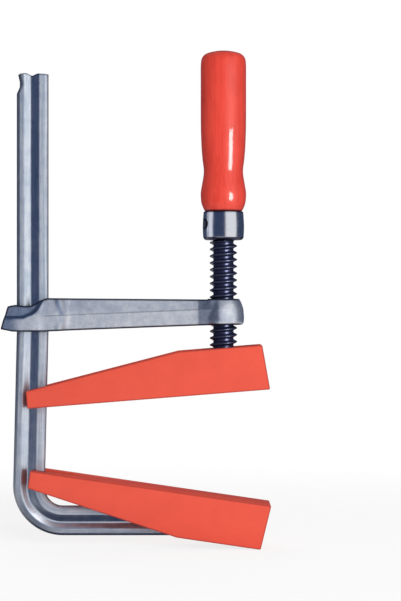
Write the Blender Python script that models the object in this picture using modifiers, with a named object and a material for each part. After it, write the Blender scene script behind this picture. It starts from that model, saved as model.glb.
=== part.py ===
"""A screw clamp with wedge jaws. A profiled steel rail is bent into the fixed arm, a forged arm
slides on the rail, a trapezoidal spindle with a turned wooden handle runs through the arm's boss,
and two equal wedge jaws swivel, one under the spindle and one on the fixed arm.

X runs from the rail towards the spindle, Y away from the viewer and Z up the rail. The origin is
on the spindle's axis, on the clamping face of the lower jaw. All sizes are in metres."""

import math

import bmesh
import bpy
from mathutils import Matrix

# Sizes that all pieces share
CLEARANCE = 0.0003
OVERRUN = 0.004
MERGE = 0.00001
ROUND_STEPS = 32
PIN_STEPS = 16

# The pose that the clamp is stored in
JAW_OPENING = 0.0612
UPPER_TILT = math.radians(4.56)
LOWER_TILT = math.radians(8.26)

# Rail and fixed arm
THROAT_DEPTH = 0.1023
RAIL_WIDTH = 0.019
RAIL_THICKNESS = 0.0095
RAIL_CORNER = 0.0016
GROOVE_WIDTH = 0.0086
GROOVE_DEPTH = 0.0023
GROOVE_FLOOR = 0.0007
GROOVE_LIP = 0.0006
BEND_RADIUS = 0.020
BEND_STEPS = 14
LEAN = math.radians(1.35)
FIXED_ARM_WIDTH = 0.018
PIN_ABOVE_ARM_MIDDLE = 0.0004
ARM_EYE_RADIUS = 0.0062
ARM_EYE_RAMP = 0.006
ARM_EYE_FOOT_CUT = 0.003

# Sheared top end of the rail
END_DIP = 0.0016
END_SLANT = 0.0006
NOTCH_DEPTH = 0.0022
NOTCH_DROP = 0.0067
NOTCH_HEIGHT = 0.0115
NOTCH_LIP = 0.0009

# Wedge jaws
JAW_LAP = 0.0128
JAW_WIDTH = 0.031
JAW_BROAD_HEIGHT = 0.026
JAW_TIP_HEIGHT = 0.0102
JAW_FLAT_LENGTH = 0.0515
JAW_END_LEAN = 0.0025
JAW_EDGE_RADIUS = 0.0007
JAW_CHEEK = 0.0035
JAW_WEB = 0.004
JAW_END_WALL = 0.004
JAW_TIP_WALL = 0.0035
JAW_SLOT_PLAY = 0.0005
JAW_SLOT_RUN = 0.0143
JAW_GUIDE_RIB = 0.0025
JAW_CROSS_RIB = 0.002
JAW_CROSS_RIBS = 3
JAW_RIB_DROP = 0.0015
JAW_RIB_STEP = 0.0002
JAW_OVERLAP = 0.001
PIVOT_INSET = 0.0259
PIVOT_DEPTH = 0.0135

# Swivel blocks in the jaws, with their pins and washers
BLOCK_RADIUS = 0.008
BLOCK_REACH = 0.0095
BLOCK_EDGE_RADIUS = 0.0006
CRADLE_WALL = 0.0037
CRADLE_REACH = math.radians(80.5)
PIVOT_PIN_RADIUS = 0.003
PIN_SOCKET_DEPTH = 0.002
WASHER_THICKNESS = 0.0007
WASHER_RADIUS = 0.0064
WASHER_RECESS = 0.0001
NOSE_RADIUS = 0.0045
NOSE_GROOVE_DEPTH = 0.0012
NOSE_PIN_RADIUS = 0.001
NOSE_PIN_HEIGHT = 0.0068
NOSE_TIP_HEIGHT = 0.0049
THRUST_WASHER_THICKNESS = 0.0015
THRUST_WASHER_RADIUS = 0.007

# Sliding arm
BOSS_ABOVE_PIVOT = 0.0258
BOSS_HEIGHT = 0.0153
BOSS_RADIUS = 0.0121
ARM_TOP_DROP = 0.0005
ARM_TOP_RISE = 0.0009
ARM_ROOT_HEIGHT = 0.0186
ARM_FOOT_INSET = 0.0001
ARM_HALF_DEPTH = 0.0071
ARM_TOP_DRAFT = 0.002
ARM_BOTTOM_DRAFT = 0.0016
ARM_ROOT_DRAFT = 0.0009
PARTING_DROP_ROOT = 0.0095
PARTING_DROP_TIP = 0.0054
PARTING_LINE = 0.0005
COLLAR_BACK = 0.0084
COLLAR_HALF_DEPTH = 0.0103
COLLAR_TOP_RISE = 0.0006
COLLAR_FOOT_DROP = 0.0001
COLLAR_EDGE_RADIUS = 0.0009
COLLAR_FACE_DROP = 0.0003
COLLAR_SLOPE_START = 0.0052
COLLAR_SLOPE_LENGTH = 0.0078
SETBACK_WALL = 0.002
SETBACK_DRAFT = 0.0012
RAIL_PLAY = 0.0006
FRICTION_PIN_RADIUS = 0.0025
FRICTION_PIN_INSET = 0.0042
FRICTION_PIN_BLIND_WALL = 0.004

# Spindle
THREAD_RADIUS = 0.008
THREAD_CORE_RADIUS = 0.00595
THREAD_PITCH = 0.004
THREAD_RUNOUT = 0.0012
THREAD_STEPS = 24
SPINDLE_SHOULDER = 0.0006
SHANK_RADIUS = 0.0065
TANG_WIDTH = 0.0075
TANG_LENGTH = 0.058
SPINDLE_FREE_LENGTH = 0.0344

# Ferrule and its pin
FERRULE_RADIUS = 0.0118
FERRULE_BARREL = 0.0003
FERRULE_HEIGHT = 0.0167
FERRULE_CHAMFER = 0.0013
FERRULE_PIN_RADIUS = 0.003
FERRULE_PIN_PROUD = 0.0008
FERRULE_PIN_CROWN = 0.0005
FERRULE_PIN_TURN = math.radians(65)

# Handle
HANDLE_LENGTH = 0.0938
HANDLE_RADIUS = 0.0133

# Height of the rail over the sliding arm
RAIL_ABOVE_ARM = 0.1318

# Shares of the thread's pitch that its crest and each flank take
CREST_share = 0.30
FLANK_share = 0.18
# Share of the pitch by which the thread is turned on from its lower end
THREAD_PHASE_share = 0.62

# The arm's lower edge rises with this power of the share of its length
ARM_FOOT_CURVE_share = 0.95
# Where the arm starts inside the collar, as a share of the collar's length from its back
ARM_ROOT_share = 0.93
# Where the arm widens into the boss, as shares of the boss's radius from the spindle's axis
BOSS_BLEND_START_share = 1.25
BOSS_BLEND_END_share = 0.5

# Collar outline, as shares of its length from the back and of its height from the bottom
COLLAR_OUTLINE_shares = [
    (0.14, 0.765), (0.3, 0.81), (0.5, 0.775), (0.63, 0.78), (0.735, 0.85), (0.83, 0.935),
    (0.93, 0.985), (1.0, 1.0), (1.0, 0.0), (0.26, 0.0), (0.0, 0.075),
]
# Line under the set back upper part of the collar, in the same shares
SETBACK_LINE_shares = [
    (-0.2, 0.395), (0.48, 0.395), (0.68, 0.507), (0.75, 0.582), (0.803, 0.68), (0.857, 0.806),
    (0.92, 0.96),
]
SETBACK_TOP_share = 1.3

# Heights on the ferrule where its barrel shape starts and where its pin sits
FERRULE_SWELL_share = 0.85
FERRULE_PIN_share = 0.55

# Boss profile, as shares of its radius and of its height, from the top down
BOSS_PROFILE_shares = [
    (0.74, 1.0), (0.8, 0.955), (0.9, 0.78), (0.965, 0.62), (0.99, 0.42), (1.0, 0.25), (0.985, 0.1),
    (0.93, 0.02), (0.86, 0.0),
]

# Handle profile, as shares of its radius and of its length, from the top down
HANDLE_PROFILE_shares = [
    (0.0, 1.0), (0.31, 0.997), (0.56, 0.99), (0.76, 0.981), (0.89, 0.967), (0.97, 0.945),
    (1.0, 0.90), (1.0, 0.80), (1.0, 0.66), (0.995, 0.52), (0.965, 0.40), (0.915, 0.315),
    (0.868, 0.265), (0.872, 0.228), (0.93, 0.175), (0.99, 0.125), (1.0, 0.095), (0.975, 0.055),
    (0.9, 0.022), (0.82, 0.0),
]

# Heights and places that follow from the sizes above
RAIL_FRONT_X = -THROAT_DEPTH
RAIL_BACK_X = RAIL_FRONT_X - RAIL_WIDTH
RAIL_MIDDLE_X = RAIL_FRONT_X - RAIL_WIDTH / 2
LOWER_PIVOT_Z = -PIVOT_DEPTH / math.cos(LOWER_TILT)
UPPER_PIVOT_Z = JAW_OPENING + PIVOT_DEPTH / math.cos(UPPER_TILT)
FIXED_ARM_Z = LOWER_PIVOT_Z - PIN_ABOVE_ARM_MIDDLE
BOSS_BOTTOM_Z = UPPER_PIVOT_Z + BOSS_ABOVE_PIVOT
BOSS_TOP_Z = BOSS_BOTTOM_Z + BOSS_HEIGHT
ARM_TOP_Z = BOSS_TOP_Z - ARM_TOP_DROP
COLLAR_TOP_Z = ARM_TOP_Z + COLLAR_TOP_RISE
ARM_ROOT_BOTTOM_Z = ARM_TOP_Z - ARM_ROOT_HEIGHT
COLLAR_BOTTOM_Z = ARM_ROOT_BOTTOM_Z - COLLAR_FOOT_DROP
RAIL_TOP_Z = BOSS_TOP_Z + RAIL_ABOVE_ARM
FERRULE_BOTTOM_Z = BOSS_TOP_Z + SPINDLE_FREE_LENGTH
FERRULE_TOP_Z = FERRULE_BOTTOM_Z + FERRULE_HEIGHT
HANDLE_BOTTOM_Z = FERRULE_TOP_Z + CLEARANCE
JAW_LENGTH = THROAT_DEPTH + JAW_LAP + PIVOT_INSET
JAW_HALF_INSIDE = JAW_WIDTH / 2 - JAW_CHEEK
BLOCK_HALF_WIDTH = JAW_HALF_INSIDE - WASHER_THICKNESS - 2 * CLEARANCE
CRADLE_HALF_LENGTH = BLOCK_RADIUS + CLEARANCE + CRADLE_WALL


# Turns of a bar or an outline from its own Z to the clamp's Z or Y
ALONG_Z = Matrix.Identity(4)
ALONG_Y = Matrix.Rotation(math.radians(90), 4, "X")
UPRIGHT = ALONG_Y


def clear_scene():
    for old in list(bpy.data.objects):
        bpy.data.objects.remove(old, do_unlink=True)


def new_collection(name):
    collection = bpy.data.collections.new(name)
    bpy.context.scene.collection.children.link(collection)
    return collection


def new_material(name, colour, roughness, metallic):
    material = bpy.data.materials.new(name)
    material.use_nodes = True
    shader = material.node_tree.nodes["Principled BSDF"]
    shader.inputs["Base Color"].default_value = (*colour, 1)
    shader.inputs["Roughness"].default_value = roughness
    shader.inputs["Metallic"].default_value = metallic
    material.diffuse_color = (*colour, 1)
    return material


clear_scene()
PARTS = new_collection("screw_clamp")
CUTTERS = new_collection("cutters")
MATERIALS = {
    "steel": new_material("rail_steel", (0.48, 0.51, 0.57), 0.35, 0.9),
    "forging": new_material("forged_steel", (0.42, 0.44, 0.48), 0.5, 0.85),
    "spindle": new_material("spindle_steel", (0.06, 0.06, 0.12), 0.35, 0.9),
    "ferrule": new_material("ferrule_steel", (0.20, 0.20, 0.28), 0.3, 0.9),
    "pin": new_material("pin_steel", (0.10, 0.10, 0.15), 0.4, 0.9),
    "lacquer": new_material("handle_lacquer", (0.80, 0.08, 0.045), 0.15, 0),
    "jaw": new_material("jaw_red", (0.80, 0.10, 0.06), 0.6, 0),
    "washer": new_material("washer_steel", (0.45, 0.46, 0.50), 0.4, 0.9),
}


def add_object(name, mesh, material=None):
    """Link a mesh as a finished piece, or as a cutter when it has no material."""
    item = bpy.data.objects.new(name, mesh)
    if material is None:
        CUTTERS.objects.link(item)
        item.hide_render = True
        item.display_type = "WIRE"
    else:
        PARTS.objects.link(item)
        mesh.materials.append(MATERIALS[material])
    return item


def finish_mesh(name, shape):
    bmesh.ops.recalc_face_normals(shape, faces=shape.faces)
    mesh = bpy.data.meshes.new(name)
    shape.to_mesh(mesh)
    shape.free()
    return mesh


def smooth(item):
    item.data.shade_smooth()
    item.data.set_sharp_from_angle(angle=math.radians(35))


def round_edges(item, width, segments=2):
    """Bevel the edges that turn sharply, and leave the facets of round sides alone."""
    bevel = item.modifiers.new("round_edges", "BEVEL")
    bevel.width = width
    bevel.segments = segments
    bevel.limit_method = "ANGLE"
    bevel.angle_limit = math.radians(35)


def mirror_across(item):
    """Mirror a half across the clamp's middle plane."""
    mirror = item.modifiers.new("other_side", "MIRROR")
    mirror.use_axis = (False, True, False)
    mirror.use_clip = True
    mirror.merge_threshold = MERGE


def flat_solid(name, outline, low_y, high_y, material=None):
    """A closed solid from an outline of X and Z points, as thick as from low_y to high_y. It is
    made from a flat curve that stands upright, and stays upright by its object's rotation."""
    flat = bpy.data.curves.new(name, "CURVE")
    flat.dimensions = "2D"
    flat.fill_mode = "BOTH"
    flat.extrude = (high_y - low_y) / 2
    spline = flat.splines.new("POLY")
    spline.points.add(len(outline) - 1)
    for point, (x, z) in zip(spline.points, outline):
        point.co = (x, z, 0, 1)
    spline.use_cyclic_u = True
    drawn = bpy.data.objects.new(name + "_outline", flat)
    CUTTERS.objects.link(drawn)
    drawn.matrix_world = Matrix.Translation((0, (low_y + high_y) / 2, 0)) @ UPRIGHT
    bpy.context.view_layer.update()
    seen = drawn.evaluated_get(bpy.context.evaluated_depsgraph_get())
    shape = bmesh.new()
    filled = bpy.data.meshes.new_from_object(seen)
    shape.from_mesh(filled)
    bpy.data.meshes.remove(filled)
    bmesh.ops.remove_doubles(shape, verts=shape.verts, dist=MERGE)
    bmesh.ops.dissolve_limit(
        shape, angle_limit=math.radians(0.1), verts=shape.verts, edges=shape.edges
    )
    item = add_object(name, finish_mesh(name, shape), material)
    item.matrix_world = drawn.matrix_world
    bpy.data.objects.remove(drawn)
    bpy.data.curves.remove(flat)
    return item


def add_box(shape, low, high):
    size = [b - a for a, b in zip(low, high)]
    middle = [(a + b) / 2 for a, b in zip(low, high)]
    corners = bmesh.ops.create_cube(shape, size=1)["verts"]
    bmesh.ops.scale(shape, vec=size, verts=corners)
    bmesh.ops.translate(shape, vec=middle, verts=corners)


def box(name, low, high, material=None):
    shape = bmesh.new()
    add_box(shape, low, high)
    return add_object(name, finish_mesh(name, shape), material)


def cylinder(name, radius, length, turn, place, material=None, steps=PIN_STEPS):
    """A round bar about its own middle."""
    shape = bmesh.new()
    bmesh.ops.create_cone(
        shape, cap_ends=True, segments=steps, radius1=radius, radius2=radius, depth=length
    )
    item = add_object(name, finish_mesh(name, shape), material)
    item.matrix_world = Matrix.Translation(place) @ turn
    if material:
        smooth(item)
    return item


def turned(name, profile, place, material=None, steps=ROUND_STEPS, closed=False):
    """Turn a profile of radius and height points, which runs down its outer side, about Z."""
    points = [(radius, 0, height) for radius, height in profile]
    edges = [(i, i + 1) for i in range(len(points) - 1)]
    if closed:
        edges.append((len(points) - 1, 0))
    mesh = bpy.data.meshes.new(name)
    mesh.from_pydata(points, edges, [])
    item = add_object(name, mesh, material)
    item.location = place
    screw = item.modifiers.new("turn", "SCREW")
    screw.steps = steps
    screw.render_steps = steps
    screw.use_merge_vertices = True
    screw.merge_threshold = MERGE
    screw.use_smooth_shade = True
    return item


def loft(name, sections, material=None, closed=True):
    """Join equal counts of points, section after section, and close both ends. Sections that
    aren't closed leave the side between their last and first points open for a mirror."""
    shape = bmesh.new()
    rings = [[shape.verts.new(p) for p in section] for section in sections]
    count = len(rings[0])
    for near, far in zip(rings, rings[1:]):
        for i in range(count if closed else count - 1):
            j = (i + 1) % count
            shape.faces.new((near[i], near[j], far[j], far[i]))
    shape.faces.new(rings[0])
    shape.faces.new(list(reversed(rings[-1])))
    return add_object(name, finish_mesh(name, shape), material)


def combine(item, other, operation):
    boolean = item.modifiers.new(other.name, "BOOLEAN")
    boolean.operation = operation
    boolean.object = other
    boolean.solver = "EXACT"


def cut(item, *others):
    for other in others:
        combine(item, other, "DIFFERENCE")


def join(item, *others):
    for other in others:
        combine(item, other, "UNION")


def arc(radius, start, end, steps):
    """Points of an arc about the origin, both ends included. Angles are in degrees."""
    angles = [math.radians(start + (end - start) * i / steps) for i in range(steps + 1)]
    return [(radius * math.cos(a), radius * math.sin(a)) for a in angles]


def ease(value):
    """Smooth step from 0 to 1."""
    value = min(max(value, 0), 1)
    return value * value * (3 - 2 * value)


def rail_section(width):
    """The rail's outline, across its width and its thickness, with a groove in both faces."""
    half_width = width / 2
    half_thick = RAIL_THICKNESS / 2
    corner = [
        (half_width - RAIL_CORNER + a, half_thick - RAIL_CORNER + b)
        for a, b in arc(RAIL_CORNER, 0, 90, 3)
    ]
    half_groove = GROOVE_WIDTH / 2
    lip_share = GROOVE_LIP / half_groove
    quarter = corner + [
        (half_groove + GROOVE_LIP, half_thick),
        (half_groove - GROOVE_LIP, half_thick - GROOVE_DEPTH * lip_share),
        (GROOVE_FLOOR, half_thick - GROOVE_DEPTH),
    ]
    side = quarter + [(-a, b) for a, b in reversed(quarter)]
    return side + [(-a, -b) for a, b in side]


def rail_path():
    """Places along the rail's middle line, each with its heading angle and its width."""
    radius = BEND_RADIUS
    bend_z = FIXED_ARM_Z + radius
    lean_z = COLLAR_BOTTOM_Z
    start_z = bend_z + radius * math.sin(LEAN)
    start_x = RAIL_MIDDLE_X - (lean_z - start_z) * math.tan(LEAN)
    bend_x = start_x + radius * math.cos(LEAN)
    down = math.radians(-90)
    stations = [
        (RAIL_MIDDLE_X, RAIL_TOP_Z, down, RAIL_WIDTH),
        (RAIL_MIDDLE_X, lean_z, down, RAIL_WIDTH),
    ]
    for i in range(BEND_STEPS + 1):
        share = i / BEND_STEPS
        heading = down - LEAN + (math.radians(90) + LEAN) * share
        x = bend_x + radius * math.sin(heading)
        z = bend_z - radius * math.cos(heading)
        stations.append((x, z, heading, RAIL_WIDTH + (FIXED_ARM_WIDTH - RAIL_WIDTH) * ease(share)))
    stations.append((ARM_EYE_RADIUS + OVERRUN, FIXED_ARM_Z, 0, FIXED_ARM_WIDTH))
    return stations


def rail_end_cutter():
    """What the shear takes off above the rail, and the notch that it leaves in the back edge."""
    top = RAIL_TOP_Z
    back = RAIL_BACK_X
    outline = [
        (back - OVERRUN, top - NOTCH_HEIGHT),
        (back, top - NOTCH_HEIGHT),
        (back + NOTCH_DEPTH, top - NOTCH_DROP),
        (back + NOTCH_LIP, top - END_SLANT),
        (back + RAIL_WIDTH / 3, top),
        (RAIL_MIDDLE_X, top - END_DIP),
        (RAIL_FRONT_X - RAIL_WIDTH / 3, top - END_SLANT / 2),
        (RAIL_FRONT_X + OVERRUN, top - END_SLANT * 2),
        (RAIL_FRONT_X + OVERRUN, top + OVERRUN),
        (back - OVERRUN, top + OVERRUN),
    ]
    return flat_solid("rail_end_cutter", outline, -RAIL_THICKNESS, RAIL_THICKNESS)


def arm_eye_cutter():
    """Shapes the fixed arm's end into a round eye about the lower pivot."""
    radius = ARM_EYE_RADIUS
    far = FIXED_ARM_WIDTH
    top = FIXED_ARM_WIDTH / 2 - PIN_ABOVE_ARM_MIDDLE
    bottom = -FIXED_ARM_WIDTH / 2 - PIN_ABOVE_ARM_MIDDLE
    ramp_start = -radius - ARM_EYE_RAMP - CLEARANCE
    edge = [(ramp_start, far), (ramp_start, top), (-radius - CLEARANCE, radius)]
    edge += arc(radius, 90, 0, 8)
    edge += [(radius, bottom + ARM_EYE_FOOT_CUT), (radius - ARM_EYE_FOOT_CUT, bottom)]
    edge += [(radius - ARM_EYE_FOOT_CUT, -far), (far, -far), (far, far)]
    outline = [(x, z + LOWER_PIVOT_Z) for x, z in edge]
    return flat_solid("arm_eye_cutter", outline, -RAIL_THICKNESS, RAIL_THICKNESS)


def make_rail():
    sections = []
    for x, z, heading, width in rail_path():
        across = (-math.sin(heading), math.cos(heading))
        section = [(x + a * across[0], b, z + a * across[1]) for a, b in rail_section(width)]
        sections.append(section)
    rail = loft("rail", sections, "steel")
    hole = cylinder(
        "arm_eye_hole", PIVOT_PIN_RADIUS + CLEARANCE, RAIL_THICKNESS + OVERRUN, ALONG_Y,
        (0, 0, LOWER_PIVOT_Z),
    )
    cut(rail, rail_end_cutter(), arm_eye_cutter(), hole)
    return rail


def arm_stations():
    """X, half depth at the parting line and the draft's part along the arm, from the collar to
    the boss."""
    root_x = collar_point(ARM_ROOT_share, 0)[0]
    slope_start = RAIL_FRONT_X + COLLAR_SLOPE_START
    slope_end = slope_start + COLLAR_SLOPE_LENGTH
    boss_start = -BOSS_RADIUS * BOSS_BLEND_START_share
    boss_end = -BOSS_RADIUS * BOSS_BLEND_END_share
    places = [root_x, slope_start]
    places += [slope_start + (slope_end - slope_start) * i / 5 for i in range(1, 6)]
    places += [slope_end + (boss_start - slope_end) * i / 3 for i in range(1, 4)]
    places += [boss_start + (boss_end - boss_start) * i / 3 for i in range(1, 4)]
    boss_half = math.sqrt(BOSS_RADIUS ** 2 - boss_end ** 2) - COLLAR_FACE_DROP
    stations = []
    for x in places:
        leave = ease((x - slope_start) / (slope_end - slope_start))
        reach = max((x - boss_start) / (boss_end - boss_start), 0)
        half = COLLAR_HALF_DEPTH + (ARM_HALF_DEPTH - COLLAR_HALF_DEPTH) * leave
        half += (boss_half - ARM_HALF_DEPTH) * reach
        stations.append((x, half, leave))
    return stations


def arm_web():
    """The forged arm between the collar and the boss. Its sides slope away from a parting line."""
    sections = []
    for x, half, leave in arm_stations():
        share = max((x - RAIL_FRONT_X) / THROAT_DEPTH, 0)
        top = ARM_TOP_Z + ARM_TOP_RISE * (1 - share)
        foot = BOSS_BOTTOM_Z + ARM_FOOT_INSET - ARM_ROOT_BOTTOM_Z
        bottom = ARM_ROOT_BOTTOM_Z + foot * share ** ARM_FOOT_CURVE_share
        drop = PARTING_DROP_ROOT + (PARTING_DROP_TIP - PARTING_DROP_ROOT) * share
        parting = ARM_TOP_Z - drop
        top_half = half - ARM_ROOT_DRAFT - (ARM_TOP_DRAFT - ARM_ROOT_DRAFT) * leave
        bottom_half = half - ARM_ROOT_DRAFT - (ARM_BOTTOM_DRAFT - ARM_ROOT_DRAFT) * leave
        side = [
            (top_half, top), (half, parting + PARTING_LINE), (half, parting - PARTING_LINE),
            (bottom_half, bottom),
        ]
        side = [(0, top)] + side + [(0, bottom)]
        sections.append([(x, y, z) for y, z in side])
    web = loft("arm_web", sections, closed=False)
    mirror_across(web)
    return web


def collar_point(share_along, share_up):
    length = COLLAR_BACK + RAIL_WIDTH
    x = RAIL_BACK_X - COLLAR_BACK + length * share_along
    z = COLLAR_BOTTOM_Z + (COLLAR_TOP_Z - COLLAR_BOTTOM_Z) * share_up
    return (x, z)


def collar_block():
    outline = [collar_point(*shares) for shares in COLLAR_OUTLINE_shares]
    half = COLLAR_HALF_DEPTH - COLLAR_FACE_DROP
    collar = flat_solid("sliding_arm", outline, -half, half, "forging")
    round_edges(collar, COLLAR_EDGE_RADIUS)
    return collar


def setback_cutter():
    """Sets back the upper part of the collar on both sides, with a drafted step below it."""
    line = [collar_point(*shares) for shares in SETBACK_LINE_shares]
    roof = collar_point(0, SETBACK_TOP_share)[1]
    outline = line + [(line[-1][0] + OVERRUN, roof), (line[0][0], roof)]
    inner_y = RAIL_THICKNESS / 2 + RAIL_PLAY + SETBACK_WALL
    outer_y = COLLAR_HALF_DEPTH + SETBACK_DRAFT
    near = [(x, outer_y, z) for x, z in outline]
    far = []
    for i, (x, z) in enumerate(outline):
        shift = SETBACK_DRAFT * 2 if i < len(line) else 0
        far.append((x - shift, inner_y, z + shift))
    cutter = loft("setback_cutter", [near, far])
    mirror_across(cutter)
    return cutter


def make_sliding_arm():
    arm = collar_block()
    boss_profile = [(0, BOSS_HEIGHT)]
    boss_profile += [(BOSS_RADIUS * r, BOSS_HEIGHT * h) for r, h in BOSS_PROFILE_shares]
    boss_profile += [(0, 0)]
    boss = turned("arm_boss", boss_profile, (0, 0, BOSS_BOTTOM_Z))
    join(arm, arm_web(), boss)
    half_window = RAIL_THICKNESS / 2 + RAIL_PLAY
    window = box(
        "rail_window",
        (RAIL_BACK_X - RAIL_PLAY, -half_window, COLLAR_BOTTOM_Z - OVERRUN),
        (RAIL_FRONT_X + RAIL_PLAY, half_window, COLLAR_TOP_Z + OVERRUN),
    )
    bore_length = BOSS_HEIGHT + 2 * OVERRUN
    bore = cylinder(
        "spindle_bore", THREAD_RADIUS + CLEARANCE, bore_length, ALONG_Z,
        (0, 0, BOSS_BOTTOM_Z + BOSS_HEIGHT / 2), steps=ROUND_STEPS,
    )
    cut(arm, setback_cutter(), window, bore)
    for place in friction_pin_places():
        low_y = -COLLAR_HALF_DEPTH + FRICTION_PIN_BLIND_WALL - CLEARANCE
        high_y = COLLAR_HALF_DEPTH + OVERRUN
        hole = cylinder(
            "friction_pin_hole", FRICTION_PIN_RADIUS + CLEARANCE, high_y - low_y, ALONG_Y,
            (place[0], (low_y + high_y) / 2, place[1]),
        )
        cut(arm, hole)
    return arm


def friction_pin_places():
    """X and Z of the pin in front of the rail at the top and of the one behind it at the bottom."""
    reach = FRICTION_PIN_RADIUS + CLEARANCE
    upper = (RAIL_FRONT_X + reach, COLLAR_TOP_Z - FRICTION_PIN_INSET)
    lower = (RAIL_BACK_X - reach, COLLAR_BOTTOM_Z + FRICTION_PIN_INSET)
    return [upper, lower]


def make_friction_pins():
    low_y = -COLLAR_HALF_DEPTH + FRICTION_PIN_BLIND_WALL
    high_y = COLLAR_HALF_DEPTH - CLEARANCE
    for name, place in zip(("friction_pin_upper", "friction_pin_lower"), friction_pin_places()):
        cylinder(
            name, FRICTION_PIN_RADIUS, high_y - low_y, ALONG_Y,
            (place[0], (low_y + high_y) / 2, place[1]), "pin",
        )


def thread_grid(shape, low, high):
    """A trapezoidal thread between two heights, as rows of points that climb the helix. It fades
    to the core at both ends, where the rows are clamped to one height and merge."""
    pitch = THREAD_PITCH
    marks = [0, FLANK_share, FLANK_share + CREST_share, 2 * FLANK_share + CREST_share]
    depths = [0, 1, 1, 0]
    rows = 4 * (math.ceil((high - low) / pitch) + 4)
    grid = []
    for row in range(rows + 1):
        base = low + pitch * (row // 4 + marks[row % 4] + THREAD_PHASE_share - 2)
        ring = []
        for step in range(THREAD_STEPS):
            height = min(max(base + pitch * step / THREAD_STEPS, low), high)
            fade = min((height - low) / THREAD_RUNOUT, (high - height) / THREAD_RUNOUT, 1)
            radius = THREAD_CORE_RADIUS
            radius += (THREAD_RADIUS - THREAD_CORE_RADIUS) * depths[row % 4] * fade
            angle = 2 * math.pi * step / THREAD_STEPS
            point = (radius * math.cos(angle), radius * math.sin(angle), height)
            ring.append(shape.verts.new(point))
        grid.append(ring)
    for row in range(rows):
        for step in range(THREAD_STEPS):
            if step + 1 < THREAD_STEPS:
                right = grid[row][step + 1]
                right_up = grid[row + 1][step + 1]
            else:
                right = grid[min(row + 4, rows)][0]
                right_up = grid[min(row + 5, rows)][0]
            if right is right_up:
                shape.faces.new((grid[row][step], right, grid[row + 1][step]))
            else:
                shape.faces.new((grid[row][step], right, right_up, grid[row + 1][step]))


def ring_stack(shape, profile):
    """Rings of points joined from each radius and height to the next."""
    rings = []
    for radius, height in profile:
        points = arc(radius, 0, 360, THREAD_STEPS)[:-1]
        rings.append([shape.verts.new((x, y, height)) for x, y in points])
    for near, far in zip(rings, rings[1:]):
        for i in range(THREAD_STEPS):
            j = (i + 1) % THREAD_STEPS
            shape.faces.new((near[i], near[j], far[j], far[i]))
    return rings


def spindle_heights():
    """Heights of the nose tip, the shoulder, both thread ends and the shank's top."""
    nose_tip = UPPER_PIVOT_Z + NOSE_TIP_HEIGHT
    shoulder = UPPER_PIVOT_Z + BLOCK_REACH + THRUST_WASHER_THICKNESS + 2 * CLEARANCE
    thread_low = shoulder + SPINDLE_SHOULDER
    thread_high = FERRULE_BOTTOM_Z
    shank_top = FERRULE_TOP_Z - CLEARANCE
    return nose_tip, shoulder, thread_low, thread_high, shank_top


def make_spindle():
    nose_tip, shoulder, thread_low, thread_high, shank_top = spindle_heights()
    groove = UPPER_PIVOT_Z + NOSE_PIN_HEIGHT
    half_groove = NOSE_PIN_RADIUS + CLEARANCE
    groove_radius = NOSE_RADIUS - NOSE_GROOVE_DEPTH
    shape = bmesh.new()
    below = ring_stack(shape, [
        (NOSE_RADIUS - CLEARANCE, nose_tip), (NOSE_RADIUS, nose_tip + CLEARANCE),
        (NOSE_RADIUS, groove - half_groove), (groove_radius, groove - half_groove),
        (groove_radius, groove + half_groove), (NOSE_RADIUS, groove + half_groove),
        (NOSE_RADIUS, shoulder), (THREAD_CORE_RADIUS, shoulder), (THREAD_CORE_RADIUS, thread_low),
    ])
    thread_grid(shape, thread_low, thread_high)
    above = ring_stack(shape, [
        (THREAD_CORE_RADIUS, thread_high), (SHANK_RADIUS, thread_high + CLEARANCE),
        (SHANK_RADIUS, shank_top),
    ])
    shape.faces.new(list(reversed(below[0])))
    shape.faces.new(above[-1])
    bmesh.ops.remove_doubles(shape, verts=shape.verts, dist=MERGE)
    spindle = add_object("spindle", finish_mesh("spindle", shape), "spindle")
    smooth(spindle)
    half = TANG_WIDTH / 2
    tang = box(
        "spindle_tang", (-half, -half, shank_top - OVERRUN), (half, half, shank_top + TANG_LENGTH)
    )
    join(spindle, tang)
    cut(spindle, ferrule_pin_hole("spindle_cross_hole"))
    return spindle


def ferrule_pin_turn():
    """Turns a bar's own axis into the direction of the cross pin, flat and left of the front."""
    return Matrix.Rotation(-FERRULE_PIN_TURN, 4, "Z") @ Matrix.Rotation(math.radians(90), 4, "X")


def ferrule_pin_place():
    return (0, 0, FERRULE_BOTTOM_Z + FERRULE_HEIGHT * FERRULE_PIN_share)


def ferrule_pin_hole(name):
    length = 2 * (FERRULE_RADIUS + OVERRUN)
    return cylinder(
        name, FERRULE_PIN_RADIUS + CLEARANCE, length, ferrule_pin_turn(), ferrule_pin_place()
    )


def make_ferrule():
    radius = FERRULE_RADIUS
    height = FERRULE_HEIGHT
    bore = SHANK_RADIUS + CLEARANCE
    profile = [
        (bore, height), (radius - FERRULE_BARREL, height), (radius, height * FERRULE_SWELL_share),
        (radius + FERRULE_BARREL, height / 2), (radius, FERRULE_CHAMFER),
        (radius - FERRULE_CHAMFER, 0), (bore, 0),
    ]
    ferrule = turned("ferrule", profile, (0, 0, FERRULE_BOTTOM_Z), "ferrule", closed=True)
    cut(ferrule, ferrule_pin_hole("ferrule_cross_hole"))
    pin = cylinder(
        "ferrule_pin", FERRULE_PIN_RADIUS, 2 * (FERRULE_RADIUS + FERRULE_PIN_PROUD),
        ferrule_pin_turn(), ferrule_pin_place(), "pin",
    )
    round_edges(pin, FERRULE_PIN_CROWN, 1)


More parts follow.
